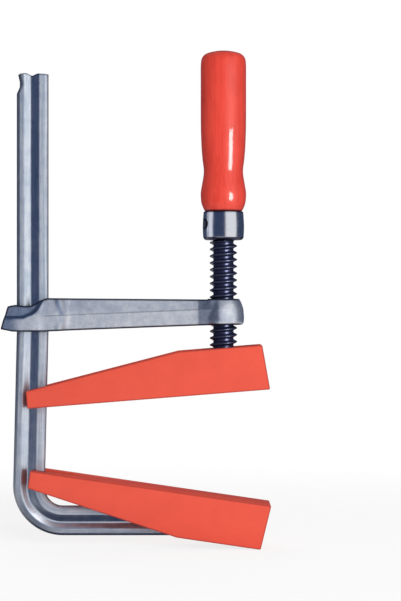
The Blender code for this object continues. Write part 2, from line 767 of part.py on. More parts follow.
def smooth_profile(shares, radius, length, between):
    """Points of a smooth curve through the given shares, by four point interpolation."""
    points = [(radius * r, length * h) for r, h in shares]
    ends = [points[0]] + points + [points[-1]]
    curve = []
    for a, b, c, d in zip(ends, ends[1:], ends[2:], ends[3:]):
        for i in range(between):
            t = i / between
            curve.append(tuple(
                0.5 * (2 * q + (r - p) * t + (2 * p - 5 * q + 4 * r - s) * t * t
                       + (3 * q - p - 3 * r + s) * t * t * t)
                for p, q, r, s in zip(a, b, c, d)
            ))
    curve.append(points[-1])
    return [(max(r, 0), h) for r, h in curve]


def make_handle():
    profile = smooth_profile(HANDLE_PROFILE_shares, HANDLE_RADIUS, HANDLE_LENGTH, 2)
    profile.append((0, 0))
    handle = turned("handle", profile, (0, 0, HANDLE_BOTTOM_Z), "lacquer")
    half = TANG_WIDTH / 2 + CLEARANCE
    tang_top = FERRULE_TOP_Z - CLEARANCE + TANG_LENGTH
    socket = box(
        "tang_socket", (-half, -half, HANDLE_BOTTOM_Z - OVERRUN), (half, half, tang_top + CLEARANCE)
    )
    cut(handle, socket)


def block_outline(radius, reach, steps=12):
    """A block with a half round foot about the pivot and straight flanks above it."""
    return [(radius, reach), (-radius, reach)] + arc(radius, 180, 360, steps)


def pivot_hole(name, low_y, high_y, place):
    return cylinder(
        name, PIVOT_PIN_RADIUS + CLEARANCE, high_y - low_y, ALONG_Y,
        (place[0], (low_y + high_y) / 2, place[2]),
    )


def make_upper_block():
    block = flat_solid(
        "upper_swivel_block", block_outline(BLOCK_RADIUS, BLOCK_REACH), -BLOCK_HALF_WIDTH,
        BLOCK_HALF_WIDTH, "forging",
    )
    pivot = (0, 0, UPPER_PIVOT_Z)
    block.location = pivot
    round_edges(block, BLOCK_EDGE_RADIUS)
    smooth(block)
    reach = BLOCK_HALF_WIDTH + OVERRUN
    nose_low = NOSE_TIP_HEIGHT - CLEARANCE
    nose_high = BLOCK_REACH + OVERRUN
    nose_hole = cylinder(
        "nose_hole", NOSE_RADIUS + CLEARANCE, nose_high - nose_low, ALONG_Z,
        (0, 0, UPPER_PIVOT_Z + (nose_low + nose_high) / 2), steps=THREAD_STEPS,
    )
    cut(block, nose_hole, pivot_hole("upper_block_hole", -reach, reach, pivot))
    for x in nose_pin_places():
        hole = cylinder(
            "nose_pin_hole", NOSE_PIN_RADIUS + CLEARANCE, 2 * reach, ALONG_Y,
            (x, 0, UPPER_PIVOT_Z + NOSE_PIN_HEIGHT), steps=PIN_STEPS,
        )
        cut(block, hole)


def nose_pin_places():
    offset = NOSE_RADIUS - NOSE_GROOVE_DEPTH + NOSE_PIN_RADIUS + CLEARANCE
    return (-offset, offset)


def make_nose_pins():
    for name, x in zip(("nose_pin_left", "nose_pin_right"), nose_pin_places()):
        cylinder(
            name, NOSE_PIN_RADIUS, 2 * (BLOCK_HALF_WIDTH - CLEARANCE), ALONG_Y,
            (x, 0, UPPER_PIVOT_Z + NOSE_PIN_HEIGHT), "pin", steps=PIN_STEPS,
        )


def make_thrust_washer():
    bore = NOSE_RADIUS + CLEARANCE
    top = THRUST_WASHER_THICKNESS
    profile = [(bore, top), (THRUST_WASHER_RADIUS, top), (THRUST_WASHER_RADIUS, 0), (bore, 0)]
    place = (0, 0, UPPER_PIVOT_Z + BLOCK_REACH + CLEARANCE)
    turned("thrust_washer", profile, place, "washer", closed=True)


def make_lower_block():
    """Like the upper block, turned over and slotted over the end of the fixed arm."""
    outline = [(x, -z) for x, z in block_outline(BLOCK_RADIUS, BLOCK_REACH)]
    block = flat_solid(
        "lower_swivel_block", outline, -BLOCK_HALF_WIDTH, BLOCK_HALF_WIDTH, "forging",
    )
    pivot = (0, 0, LOWER_PIVOT_Z)
    block.location = pivot
    round_edges(block, BLOCK_EDGE_RADIUS)
    smooth(block)
    radius = ARM_EYE_RADIUS + CLEARANCE
    far = BLOCK_REACH + BLOCK_RADIUS
    slot = [(-far, radius)] + arc(radius, 90, 0, 8) + [(radius, -far), (-far, -far)]
    half_slot = RAIL_THICKNESS / 2 + CLEARANCE
    slot_cutter = flat_solid("arm_slot_cutter", slot, -half_slot, half_slot)
    slot_cutter.location = pivot
    reach = BLOCK_HALF_WIDTH + OVERRUN
    cut(block, slot_cutter, pivot_hole("lower_block_hole", -reach, reach, pivot))


def jaw_line_height(x):
    """Height of the jaw's outer side at a place along the jaw, measured from its pivot."""
    top = JAW_BROAD_HEIGHT - PIVOT_DEPTH
    bend = PIVOT_INSET - JAW_FLAT_LENGTH
    tip = PIVOT_INSET - JAW_LENGTH
    tip_top = JAW_TIP_HEIGHT - PIVOT_DEPTH
    if x >= bend:
        return top
    return top + (tip_top - top) * (bend - x) / (bend - tip)


def jaw_outline():
    broad = PIVOT_INSET
    tip = PIVOT_INSET - JAW_LENGTH
    bend = PIVOT_INSET - JAW_FLAT_LENGTH
    return [
        (broad, -PIVOT_DEPTH), (broad - JAW_END_LEAN, jaw_line_height(broad)),
        (bend, jaw_line_height(bend)), (tip, jaw_line_height(tip)), (tip, -PIVOT_DEPTH),
    ]


def jaw_long_rib(name, low_x, high_x, side):
    """A rib along the channel for the rail and the fixed arm, a little lower than the cheeks. It
    reaches into the web below it."""
    bottom = JAW_WEB / 2 - PIVOT_DEPTH
    inner = side * (RAIL_THICKNESS / 2 + JAW_SLOT_PLAY + JAW_RIB_STEP)
    outer = inner + side * JAW_GUIDE_RIB
    bend = PIVOT_INSET - JAW_FLAT_LENGTH
    outline = [(low_x, bottom), (high_x, bottom), (high_x, jaw_line_height(high_x) - JAW_RIB_DROP)]
    if low_x < bend < high_x:
        outline.append((bend, jaw_line_height(bend) - JAW_RIB_DROP))
    outline.append((low_x, jaw_line_height(low_x) - JAW_RIB_DROP))
    return flat_solid(name, outline, min(inner, outer), max(inner, outer))


def jaw_cross_ribs():
    """Short ribs between the long ones and the cheeks."""
    tip = PIVOT_INSET - JAW_LENGTH + JAW_TIP_WALL
    bottom = JAW_WEB / 2 - PIVOT_DEPTH
    inner = RAIL_THICKNESS / 2 + JAW_SLOT_PLAY + JAW_RIB_STEP + JAW_GUIDE_RIB - JAW_OVERLAP
    pitch = (-CRADLE_HALF_LENGTH - tip + JAW_CROSS_RIB) / (JAW_CROSS_RIBS + 1)
    shape = bmesh.new()
    for i in range(1, JAW_CROSS_RIBS + 1):
        end = tip + pitch * i
        start = end - JAW_CROSS_RIB
        top = jaw_line_height(start) - 2 * JAW_RIB_DROP
        add_box(shape, (start, inner, bottom), (end, JAW_HALF_INSIDE + JAW_OVERLAP, top))
    ribs = add_object("jaw_cross_ribs", finish_mesh("jaw_cross_ribs", shape))
    mirror_across(ribs)
    return ribs


def jaw_cradle():
    """The block that is troughed for the half round foot of the swivel block."""
    half_width = JAW_HALF_INSIDE + JAW_OVERLAP
    top = -(BLOCK_RADIUS + CLEARANCE) * math.cos(CRADLE_REACH)
    return box(
        "jaw_cradle", (-CRADLE_HALF_LENGTH, -half_width, JAW_WEB / 2 - PIVOT_DEPTH),
        (CRADLE_HALF_LENGTH, half_width, top),
    )


def jaw_pocket():
    """The open inside of the jaw, between its cheeks, its web and its end walls."""
    floor = JAW_WEB - PIVOT_DEPTH
    tip = PIVOT_INSET - JAW_LENGTH + JAW_TIP_WALL
    broad = PIVOT_INSET - JAW_END_WALL - JAW_END_LEAN
    roof = JAW_BROAD_HEIGHT
    return box("jaw_pocket", (tip, -JAW_HALF_INSIDE, floor), (broad, JAW_HALF_INSIDE, roof))


def jaw_fork_slot():
    """The slot through the web at the narrow end, where the jaw straddles the rail."""
    half_slot = RAIL_THICKNESS / 2 + JAW_SLOT_PLAY
    tip = PIVOT_INSET - JAW_LENGTH - OVERRUN
    slot_end = PIVOT_INSET - JAW_LENGTH + JAW_LAP + JAW_SLOT_RUN
    under = -PIVOT_DEPTH - OVERRUN
    return box(
        "jaw_fork_slot", (tip, -half_slot, under), (slot_end, half_slot, JAW_BROAD_HEIGHT)
    )


def jaw_arm_gap():
    """The gap in the cradle's near wall that lets the fixed arm reach the pivot. It runs on under
    the trough, to clear the corner behind the arm's eye."""
    half_gap = RAIL_THICKNESS / 2 + JAW_SLOT_PLAY - MERGE
    floor = JAW_WEB - PIVOT_DEPTH + JAW_RIB_STEP
    return box(
        "jaw_arm_gap", (-CRADLE_HALF_LENGTH - OVERRUN, -half_gap, floor),
        (-ARM_EYE_RADIUS / 2, half_gap, JAW_BROAD_HEIGHT),
    )


def make_jaw(name, pivot, turn, open_side):
    """One wedge jaw about its pivot. The clamping face is below the pivot before it is turned.
    The pin's hole is drilled from the side that ends up at the back."""
    jaw = flat_solid(name, jaw_outline(), -JAW_WIDTH / 2, JAW_WIDTH / 2, "jaw")
    round_edges(jaw, JAW_EDGE_RADIUS)
    trough = cylinder(
        "cradle_trough", BLOCK_RADIUS + CLEARANCE, 2 * (JAW_HALF_INSIDE + WASHER_RECESS), ALONG_Y,
        (0, 0, 0), steps=2 * ROUND_STEPS,
    )
    blind = -open_side * (JAW_HALF_INSIDE + PIN_SOCKET_DEPTH)
    through = open_side * (JAW_WIDTH / 2 + OVERRUN)
    hole = pivot_hole("jaw_pin_hole", min(blind, through), max(blind, through), (0, 0, 0))
    tip_end = PIVOT_INSET - JAW_LENGTH + JAW_TIP_WALL - JAW_OVERLAP
    broad_end = PIVOT_INSET - JAW_END_WALL - JAW_END_LEAN + JAW_OVERLAP
    cradle_end = CRADLE_HALF_LENGTH - CRADLE_WALL / 4
    ribs = [
        jaw_long_rib("jaw_long_rib", tip_end, -cradle_end, -1),
        jaw_long_rib("jaw_long_rib", tip_end, -cradle_end, 1),
        jaw_long_rib("jaw_short_rib", cradle_end, broad_end, -1),
        jaw_long_rib("jaw_short_rib", cradle_end, broad_end, 1),
        jaw_cross_ribs(),
        jaw_cradle(),
    ]
    pocket = jaw_pocket()
    cutters = [jaw_fork_slot(), jaw_arm_gap(), trough, hole]
    place = Matrix.Translation(pivot) @ turn
    for item in [jaw, pocket] + ribs + cutters:
        item.matrix_world = place @ item.matrix_world
    cut(jaw, pocket)
    join(jaw, *ribs)
    cut(jaw, *cutters)
    return jaw


def make_pivot_fittings(level, pivot):
    """The pin through one jaw's pivot and the washers between its block and its cheeks."""
    low_y = -JAW_HALF_INSIDE - PIN_SOCKET_DEPTH + CLEARANCE
    high_y = JAW_WIDTH / 2 - CLEARANCE
    cylinder(
        level + "_pivot_pin", PIVOT_PIN_RADIUS, high_y - low_y, ALONG_Y,
        (pivot[0], (low_y + high_y) / 2, pivot[2]), "pin",
    )
    bore = PIVOT_PIN_RADIUS + CLEARANCE
    half = WASHER_THICKNESS / 2
    profile = [(bore, half), (WASHER_RADIUS, half), (WASHER_RADIUS, -half), (bore, -half)]
    middle_y = BLOCK_HALF_WIDTH + CLEARANCE + half
    for side, y in (("front", -middle_y), ("back", middle_y)):
        washer = turned(
            f"{level}_friction_washer_{side}", profile, (pivot[0], y, pivot[2]), "washer",
            closed=True,
        )
        washer.rotation_euler = (math.radians(90), 0, 0)


def build_clamp():
    make_rail()
    make_sliding_arm()
    make_friction_pins()
    make_spindle()
    make_ferrule()
    make_handle()
    make_upper_block()
    make_nose_pins()
    make_thrust_washer()
    make_lower_block()
    upper_pivot = (0, 0, UPPER_PIVOT_Z)
    lower_pivot = (0, 0, LOWER_PIVOT_Z)
    make_jaw("upper_jaw", upper_pivot, Matrix.Rotation(-UPPER_TILT, 4, "Y"), 1)
    make_pivot_fittings("upper", upper_pivot)
    turned_over = Matrix.Rotation(LOWER_TILT, 4, "Y") @ Matrix.Rotation(math.pi, 4, "X")
    make_jaw("lower_jaw", lower_pivot, turned_over, -1)
    make_pivot_fittings("lower", lower_pivot)


build_clamp()
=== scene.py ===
"""Looks of the screw clamp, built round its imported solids.

X runs from the rail to the spindle, Y away from the viewer and Z up the rail, in metres. A new
piece is a grid of points worked out as one array and covered with four sided faces. The jaws and
their blocks are smoothed copies of their solids."""

import math

import bmesh
import bpy
import numpy as np
from mathutils import Matrix, Vector


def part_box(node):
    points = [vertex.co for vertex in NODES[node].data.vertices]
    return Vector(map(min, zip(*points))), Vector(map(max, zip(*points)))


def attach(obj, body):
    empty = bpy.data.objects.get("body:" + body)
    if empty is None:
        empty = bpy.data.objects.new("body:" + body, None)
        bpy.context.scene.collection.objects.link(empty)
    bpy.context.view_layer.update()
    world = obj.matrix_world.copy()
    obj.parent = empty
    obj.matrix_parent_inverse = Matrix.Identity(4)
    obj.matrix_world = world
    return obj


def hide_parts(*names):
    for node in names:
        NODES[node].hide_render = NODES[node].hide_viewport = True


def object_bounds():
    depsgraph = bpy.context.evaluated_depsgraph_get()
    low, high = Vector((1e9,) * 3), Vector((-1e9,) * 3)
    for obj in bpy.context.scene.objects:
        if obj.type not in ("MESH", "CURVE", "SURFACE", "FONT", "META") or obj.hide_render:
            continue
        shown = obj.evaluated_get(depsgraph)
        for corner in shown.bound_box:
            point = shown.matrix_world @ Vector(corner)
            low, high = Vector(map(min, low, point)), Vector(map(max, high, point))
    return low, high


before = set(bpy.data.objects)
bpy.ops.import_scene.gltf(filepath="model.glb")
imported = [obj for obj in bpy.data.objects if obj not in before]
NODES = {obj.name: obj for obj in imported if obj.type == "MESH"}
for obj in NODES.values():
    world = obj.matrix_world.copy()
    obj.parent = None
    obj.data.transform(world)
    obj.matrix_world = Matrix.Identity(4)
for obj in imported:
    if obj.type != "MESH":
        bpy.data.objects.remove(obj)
CAD_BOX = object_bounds()

# Points closer than MERGE are joined. A corner is softened over CRISP or BLUNT to each side.
MERGE = 0.000002
CRISP = 0.0003
BLUNT = 0.0004
ALONG_Z = Matrix.Identity(4)
ALONG_Y = Matrix.Rotation(math.pi / 2, 4, "X")

# Rail and fixed arm, as in the solids
RAIL_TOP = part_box("rail")[1].z
RAIL_FRONT = -0.1023
RAIL_WIDTH = 0.019
RAIL_BACK = RAIL_FRONT - RAIL_WIDTH
RAIL_MIDDLE = RAIL_FRONT - RAIL_WIDTH / 2
RAIL_THICKNESS = 0.0095
RAIL_CORNER = 0.0024
RAIL_CROWN = 0.00022
GROOVE_HALF = 0.0043
GROOVE_DEPTH = 0.0020
GROOVE_LIP = 0.0006
BEND_RADIUS = 0.020
LEAN = math.radians(1.35)
ARM_WIDTH = 0.018
ARM_DROP = 0.0004
LOWER_PIVOT = -0.0136415
UPPER_PIVOT = 0.0747429
FIXED_ARM = LOWER_PIVOT - ARM_DROP
EYE_RADIUS = 0.0062
EYE_CUT = 0.003
NECK_START = -EYE_RADIUS - 0.0063
NECK_END = -EYE_RADIUS - 0.0003
NECK_MARGIN = 0.001

# Sliding arm
COLLAR_BACK = RAIL_BACK - 0.0084
COLLAR_LENGTH = RAIL_FRONT - COLLAR_BACK
COLLAR_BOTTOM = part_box("sliding_arm")[0].z
BOSS_BOTTOM = UPPER_PIVOT + 0.0258
BOSS_HEIGHT = 0.0153
BOSS_TOP = BOSS_BOTTOM + BOSS_HEIGHT
BOSS_RADIUS = 0.0121
ARM_TOP = BOSS_TOP - 0.0005
ARM_TOP_RISE = 0.00085
ARM_ROOT_BOTTOM = COLLAR_BOTTOM + 0.0001
COLLAR_HEIGHT = ARM_TOP + 0.0006 - COLLAR_BOTTOM
COLLAR_HALF = 0.0102
SETBACK_HALF = 0.00735
WEB_HALF = 0.0071
FLARE_HALF = 0.01018
RAIL_PLAY = 0.0006

# Spindle, ferrule and handle
THREAD_LOW = 0.0869429
THREAD_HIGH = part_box("ferrule")[0].z
THREAD_RADIUS = 0.008
THREAD_CORE = 0.00595
THREAD_PITCH = 0.004
TURNED_EDGE = 0.0003
NOSE_RADIUS = 0.0045
NOSE_GROOVE = UPPER_PIVOT + 0.0068
NOSE_GROOVE_HALF = 0.0012
NOSE_GROOVE_RADIUS = 0.0033
SHANK_RADIUS = 0.0065
TANG_HALF = 0.00375
TANG_CORNER = 0.0049
FERRULE_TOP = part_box("ferrule")[1].z
FERRULE_HEIGHT = FERRULE_TOP - THREAD_HIGH
FERRULE_RADIUS = 0.0118
FERRULE_BORE = 0.0068
HANDLE_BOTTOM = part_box("handle")[0].z
HANDLE_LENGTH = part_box("handle")[1].z - HANDLE_BOTTOM
HANDLE_RADIUS = 0.0133
CROSS_PIN_TURN = Matrix.Rotation(math.radians(-65), 4, "Z") @ ALONG_Y
CROSS_PIN_PLACE = (0, 0, THREAD_HIGH + FERRULE_HEIGHT * 0.55)

# Jaws
UPPER_TILT = math.radians(4.56)
LOWER_TILT = math.radians(8.26)
JAW_BROAD = 0.0259
JAW_TIP = -0.1151
JAW_BEND = -0.0256
JAW_FACE = -0.0135
JAW_OUTER = 0.0125
JAW_TIP_TOP = -0.0033
JAW_END_LEAN = 0.0025
JAW_HALF_WIDTH = 0.0155


# Lines and curves


def ease(value, low=0, high=1):
    """Smooth step from 0 at low to 1 at high: 3 s squared less 2 s cubed, where s is the share of
    the way between them."""
    share = np.clip((value - low) / (high - low), 0, 1)
    return share * share * (3 - 2 * share)


def hump(away, width):
    """1 at nought, falling to both sides as e to minus the square of the distance over width."""
    return np.exp(-(away / width) ** 2)


def soft_line(x, knots, reach):
    """Height at x of the broken line through the knots, averaged from x - reach to x + reach."""
    across, up = np.array(knots, float).T
    shifts = np.linspace(-reach, reach, 9)
    return np.interp(np.asarray(x, float)[..., None] + shifts, across, up).mean(-1)


def stacked(*values):
    """Arrays and numbers, spread to one shape and laid side by side along a last axis."""
    return np.stack(np.broadcast_arrays(*values), axis=-1)


def distances(line):
    """How far along a line of points each of them is."""
    return np.concatenate([[0], np.cumsum(np.linalg.norm(np.diff(line, axis=0), axis=-1))])


def smooth_curve(knots, between):
    """Four point curve through the knots. From q to r, with p before and s after them, it is half
    of 2q + (r - p)t + (2p - 5q + 4r - s)t squared + (3q - p - 3r + s)t cubed."""
    k = np.array(knots, float)
    ends = np.vstack([k[:1], k, k[-1:]])
    p, q, r, s = (part[:, None] for part in (ends[:-3], ends[1:-2], ends[2:-1], ends[3:]))
    t = np.linspace(0, 1, between, endpoint=False)[None, :, None]
    curve = 0.5 * (2 * q + (r - p) * t + (2 * p - 5 * q + 4 * r - s) * t ** 2
                   + (3 * q - p - 3 * r + s) * t ** 3)
    return np.vstack([curve.reshape(-1, 2), k[-1:]])


def spans(*stops):
    """Evenly spaced values from stop to stop. Stops and the counts between them take turns."""
    parts = [
        np.linspace(a, b, n, endpoint=False)
        for a, n, b in zip(stops[::2], stops[1::2], stops[2::2])
    ]
    return np.concatenate(parts + [[stops[-1]]])


# Meshes


def grid_mesh(name, points, joined):
    """Covers a grid of points with four sided faces. Where it is joined, the last column meets
    the first."""
    rows, columns = points.shape[:2]
    row, column = np.mgrid[0:rows - 1, 0:columns - (not joined)]
    beside = (column + 1) % columns
    corners = [(row, column), (row, beside), (row + 1, beside), (row + 1, column)]
    faces = stacked(*(r * columns + c for r, c in corners)).reshape(-1, 4)
    mesh = bpy.data.meshes.new(name)
    mesh.from_pydata(points.reshape(-1, 3).tolist(), [], faces.tolist())
    return mesh


def skin(name, points, lay=None, **fields):
    """A closed mesh over a grid of points whose rows run along the piece. Points that fall
    together, as at a pole, are merged, and the faces are turned outwards. Each field keeps one
    number for every point, and the lay is a point's place along and round the piece."""
    mesh = grid_mesh(name, points, joined=True)
    for field, values in fields.items():
        set_field(mesh, field, values)
    if lay is not None:
        row, column = np.mgrid[0:points.shape[0] - 1, 0:points.shape[1]]
        ends = [(row, column), (row, column + 1), (row + 1, column + 1), (row + 1, column)]
        flat = np.stack([lay[r, c] for r, c in ends], axis=2).reshape(-1)
        mesh.uv_layers.new(name="lay").data.foreach_set("uv", flat)
    return merged(mesh)


def merged(mesh):
    shape = bmesh.new()
    shape.from_mesh(mesh)
    bmesh.ops.remove_doubles(shape, verts=shape.verts, dist=MERGE)
    bmesh.ops.recalc_face_normals(shape, faces=shape.faces)
    shape.to_mesh(mesh)
    shape.free()
    return mesh


def turned(name, profile, columns=64, turn=ALONG_Z, place=(0, 0, 0)):
    """Turns a profile of radius and height about Z: x is radius times cosine, y radius times sine.
    The finished grid is then turned and placed as a whole."""
    profile = np.array(profile, float)
    angle = np.linspace(0, 2 * math.pi, columns, endpoint=False)
    radius, height = profile[:, :1], profile[:, 1:]
    points = stacked(radius * np.cos(angle), radius * np.sin(angle), height)
    return skin(name, points @ np.array(turn.to_3x3()).T + np.array(place))


def box_mesh(low, high):
    """A closed box as a square profile carried from its low to its high end, shut at both."""
    xs = np.array([low[0], high[0], high[0], low[0]])
    ys = np.array([low[1], low[1], high[1], high[1]])
    middle = (np.array(low) + np.array(high)) / 2
    shut = np.array([0, 1, 1, 0])[:, None]
    x = middle[0] + (xs - middle[0]) * shut
    y = middle[1] + (ys - middle[1]) * shut
    z = np.array([low[2], low[2], high[2], high[2]])[:, None]
    return skin("box", stacked(x, y, z))


def bar_mesh(radius, length, turn, place):
    """A round bar, turned from its outline about its middle."""
    half = length / 2
    profile = [(0, half), (radius, half), (radius, -half), (0, -half)]
    return turned("bar", profile, 48, turn, place)


def new_object(name, data):
    item = bpy.data.objects.new(name, data)
    bpy.context.scene.collection.objects.link(item)
    return item


def cut_out(mesh, *cutters):
    """What is left of a closed mesh when the closed cutters are taken out of it."""
    blank = new_object("blank", mesh)
    tools = [new_object("tool", cutter) for cutter in cutters]
    for tool in tools:
        boolean = blank.modifiers.new("cut", "BOOLEAN")
        boolean.operation = "DIFFERENCE"
        boolean.solver = "EXACT"
        boolean.object = tool
    bpy.context.view_layer.update()
    seen = blank.evaluated_get(bpy.context.evaluated_depsgraph_get())
    left = bpy.data.meshes.new_from_object(seen)
    for item in [blank] + tools:
        bpy.data.objects.remove(item)
    return left


def vertex_places(mesh):
    places = np.zeros(len(mesh.vertices) * 3)
    mesh.vertices.foreach_get("co", places)
    return places.reshape(-1, 3)


def set_field(mesh, name, values):
    """Keep one number for each vertex, which a material reads by this name."""
    field = mesh.attributes.new(name, "FLOAT", "POINT")
    field.data.foreach_set("value", np.asarray(values, np.float32).ravel())


def piece(name, mesh, finish, body, nodes, sharp=40):
    """A finished piece that rides on a body and stands for the named solids."""
    item = new_object(name, mesh)
    mesh.materials.clear()
    mesh.materials.append(finish)
    mesh.shade_smooth()
    mesh.set_sharp_from_angle(angle=math.radians(sharp))
    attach(item, body)
    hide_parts(*nodes)


# Shader nodes


class Value:
    """A number that changes over a surface. Arithmetic on it adds Math nodes."""

    def __init__(self, nodes, socket):
        self.nodes = nodes
        self.socket = socket

    def __add__(self, other):
        return self.nodes.maths("ADD", self, other)

    def __sub__(self, other):
        return self.nodes.maths("SUBTRACT", self, other)

    def __rsub__(self, other):
        return self.nodes.maths("SUBTRACT", other, self)

    def __mul__(self, other):
        return self.nodes.maths("MULTIPLY", self, other)

    __radd__ = __add__
    __rmul__ = __mul__


class Nodes:
    """A node tree that is built one call at a time."""

    def __init__(self, tree):
        self.tree = tree
        tree.nodes.clear()

    def add(self, kind, settings=(), inputs=(), output=0):
        """Adds a node. Settings come first, then each input's value or link, by its index or its
        identifier."""
        node = self.tree.nodes.new("ShaderNode" + kind)
        for setting, value in dict(settings).items():
            setattr(node, setting, value)
        found = {socket.identifier: socket for socket in node.inputs}
        for key, value in dict(inputs).items():
            socket = node.inputs[key] if isinstance(key, int) else found[key]
            if isinstance(value, Value):
                self.tree.links.new(value.socket, socket)
            else:
                socket.default_value = (*value, 1) if socket.type == "RGBA" else value
        if not node.outputs:
            return None
        if isinstance(output, str):
            return Value(self, next(s for s in node.outputs if s.identifier == output))
        return Value(self, node.outputs[output])

    def maths(self, operation, *values):
        return self.add("Math", {"operation": operation}, enumerate(values))

    def step(self, value, low, high):
        """Smooth step from 0 at low to 1 at high."""
        inputs = {"Value": value, "From Min": low, "From Max": high}
        return self.add("MapRange", {"interpolation_type": "SMOOTHSTEP"}, inputs)

    def blend(self, share, first, second):
        """Mixes two colours, each of them three numbers or a link."""
        inputs = {"Factor_Float": share, "A_Color": first, "B_Color": second}
        return self.add("Mix", {"data_type": "RGBA"}, inputs, "Result_Color")

    def places(self):
        return self.add("TexCoord", output="Object")

    def mapped(self, vector, location=(0, 0, 0), turn=(0, 0, 0), scale=(1, 1, 1), kind="POINT"):
        inputs = {"Vector": vector, "Location": location, "Rotation": turn, "Scale": scale}
        return self.add("Mapping", {"vector_type": kind}, inputs)

    def noise(self, scale, detail=3, rough=0.6, over=None, dimensions="3D"):
        """Noise over the given vector, or else over the piece's own places."""
        over = over or self.places()
        inputs = {"Vector": over, "Scale": scale, "Detail": detail, "Roughness": rough}
        return self.add("TexNoise", {"noise_dimensions": dimensions}, inputs)

    def field(self, name):
        return self.add("Attribute", {"attribute_name": name}, output="Fac")


class Finish(Nodes):
    """The node tree of a new material."""

    def __init__(self, name):
        self.material = bpy.data.materials.new(name)
        self.material.use_nodes = True
        super().__init__(self.material.node_tree)

    def surface(self, colour, roughness, bump, depth, **fixed):
        """Ends the tree in a shader with a bump of the given depth, and gives the material."""
        lit = self.add("Bump", {}, {"Strength": 1.0, "Distance": depth, "Height": bump})
        inputs = {"Base Color": colour, "Roughness": roughness, "Normal": lit}
        inputs.update({key.replace("_", " "): value for key, value in fixed.items()})
        return self.finished(self.add("BsdfPrincipled", {}, inputs))

    def finished(self, shader):
        self.add("OutputMaterial", {}, {"Surface": shader})
        return self.material


# Finishes


def drawn_steel():
    """Cold drawn bar: fine lines along it, cloudy patches, and painted shade as dark lines at its
    edges, in its nick and on its bend. The lands are scuffed by the sliding arm and the groove
    keeps its smoother skin."""
    nodes = Finish("drawn_steel")
    lay = nodes.add("UVMap", {"uv_map": "lay"})
    lines = nodes.noise(5200, 3, 0.6, nodes.mapped(lay, scale=(0.012, 1, 1)), "2D")
    streaks = nodes.noise(900, 2, 0.5, nodes.mapped(lay, scale=(0.03, 1, 1)), "2D")
    patches = nodes.noise(170, 4, 0.6)
    bright = nodes.step(lines * 0.4 + streaks * 0.3 + patches * 0.3, 0.38, 0.62)
    plain = nodes.blend(bright, (0.46, 0.54, 0.66), (0.74, 0.78, 0.84))
    # The rim field is painted shade: dark lines at the edges, in the nick and on the bend's outer
    # land.
    colour = nodes.blend(nodes.field("rim"), plain, (0.035, 0.05, 0.10))
    land = nodes.field("land")
    roughness = 0.25 + land * 0.27 + patches * 0.12
    height = lines * 0.6 + patches * 0.4
    return nodes.surface(colour, roughness, height, 0.00003, Metallic=0.98 - land * 0.12)


def forged_steel():
    """Drop forged: pits, cloudy patches, painted shade as dark lines at the edges, a dark parting
    line, and, by the skin field, painted shade in dark blue where the arm's faces turn from the
    light."""
    nodes = Finish("forged_steel")
    pits = nodes.noise(1500, 4, 0.65)
    patches = nodes.noise(230)
    rim = nodes.field("rim")
    bright = nodes.step(pits * 0.45 + patches * 0.55, 0.36, 0.66)
    plain = nodes.blend(bright, (0.53, 0.575, 0.665), (0.745, 0.77, 0.82))
    # Painted shade: a dark blue for the faces that turn from the light, read from the skin field.
    painted_shade_blue = nodes.blend(bright, (0.055, 0.10, 0.21), (0.14, 0.21, 0.36))
    plain = nodes.blend(nodes.field("skin"), plain, painted_shade_blue)
    # The rim field paints shade as dark lines at the edges and darkens the parting line.
    colour = nodes.blend(rim, plain, (0.03, 0.035, 0.06))
    roughness = 0.36 + pits * 0.16 + rim * 0.1 - nodes.field("boss") * 0.12
    return nodes.surface(colour, roughness, pits * 0.7 + patches * 0.3, 0.00012, Metallic=0.85)


def machined_steel():
    """Plain steel of the swivel blocks: even fine grain with a few rubbed patches."""
    nodes = Finish("machined_steel")
    grain = nodes.noise(2200)
    patches = nodes.noise(300, 3, 0.5)
    bright = nodes.step(grain * 0.4 + patches * 0.6, 0.35, 0.65)
    colour = nodes.blend(bright, (0.34, 0.36, 0.41), (0.52, 0.53, 0.57))
    return nodes.surface(colour, 0.38 + patches * 0.15, grain, 0.00004, Metallic=0.9)


def blackened_steel():
    """Rolled thread with a black oxide skin that is rubbed thin on its crests."""
    nodes = Finish("blackened_steel")
    grain = nodes.noise(1800)
    patches = nodes.noise(260)
    worn = nodes.step(nodes.field("crest") + patches * 0.4, 0.80, 1.25)
    black = nodes.blend(patches, (0.015, 0.019, 0.054), (0.034, 0.040, 0.094))
    colour = nodes.blend(worn, black, (0.050, 0.058, 0.108))
    return nodes.surface(colour, 0.22 + grain * 0.12, grain, 0.00002, Metallic=0.5)


def polished_steel():
    """Turned and polished: faint rings from the lathe, and painted shade as a dark line at both
    edges and over the bore.
    """
    nodes = Finish("polished_steel")
    rings = nodes.noise(5000, 2, 0.5, nodes.mapped(nodes.places(), scale=(0.02, 0.02, 1)))
    patches = nodes.noise(240)
    plain = nodes.blend(rings * 0.5 + patches * 0.5, (0.58, 0.60, 0.67), (0.74, 0.75, 0.79))
    # The rim field is painted shade at the edges and in the bore.
    colour = nodes.blend(nodes.field("rim"), plain, (0.03, 0.03, 0.06))
    return nodes.surface(colour, 0.17 + patches * 0.1, rings, 0.000012, Metallic=1.0)


def pin_steel():
    """Dark pins with a rubbed middle on each end."""
    nodes = Finish("pin_steel")
    grain = nodes.noise(1600)
    plain = nodes.blend(grain, (0.15, 0.16, 0.20), (0.34, 0.35, 0.40))
    colour = nodes.blend(nodes.field("rim"), plain, (0.012, 0.014, 0.035))
    return nodes.surface(colour, 0.34 + grain * 0.16, grain, 0.00005, Metallic=0.85)


def washer_steel():
    """Stamped washers: fine, even grain."""
    nodes = Finish("washer_steel")
    grain = nodes.noise(2400)
    plain = nodes.blend(grain, (0.36, 0.37, 0.41), (0.55, 0.56, 0.60))
    return nodes.surface(plain, 0.32 + grain * 0.15, grain, 0.00003, Metallic=0.9)


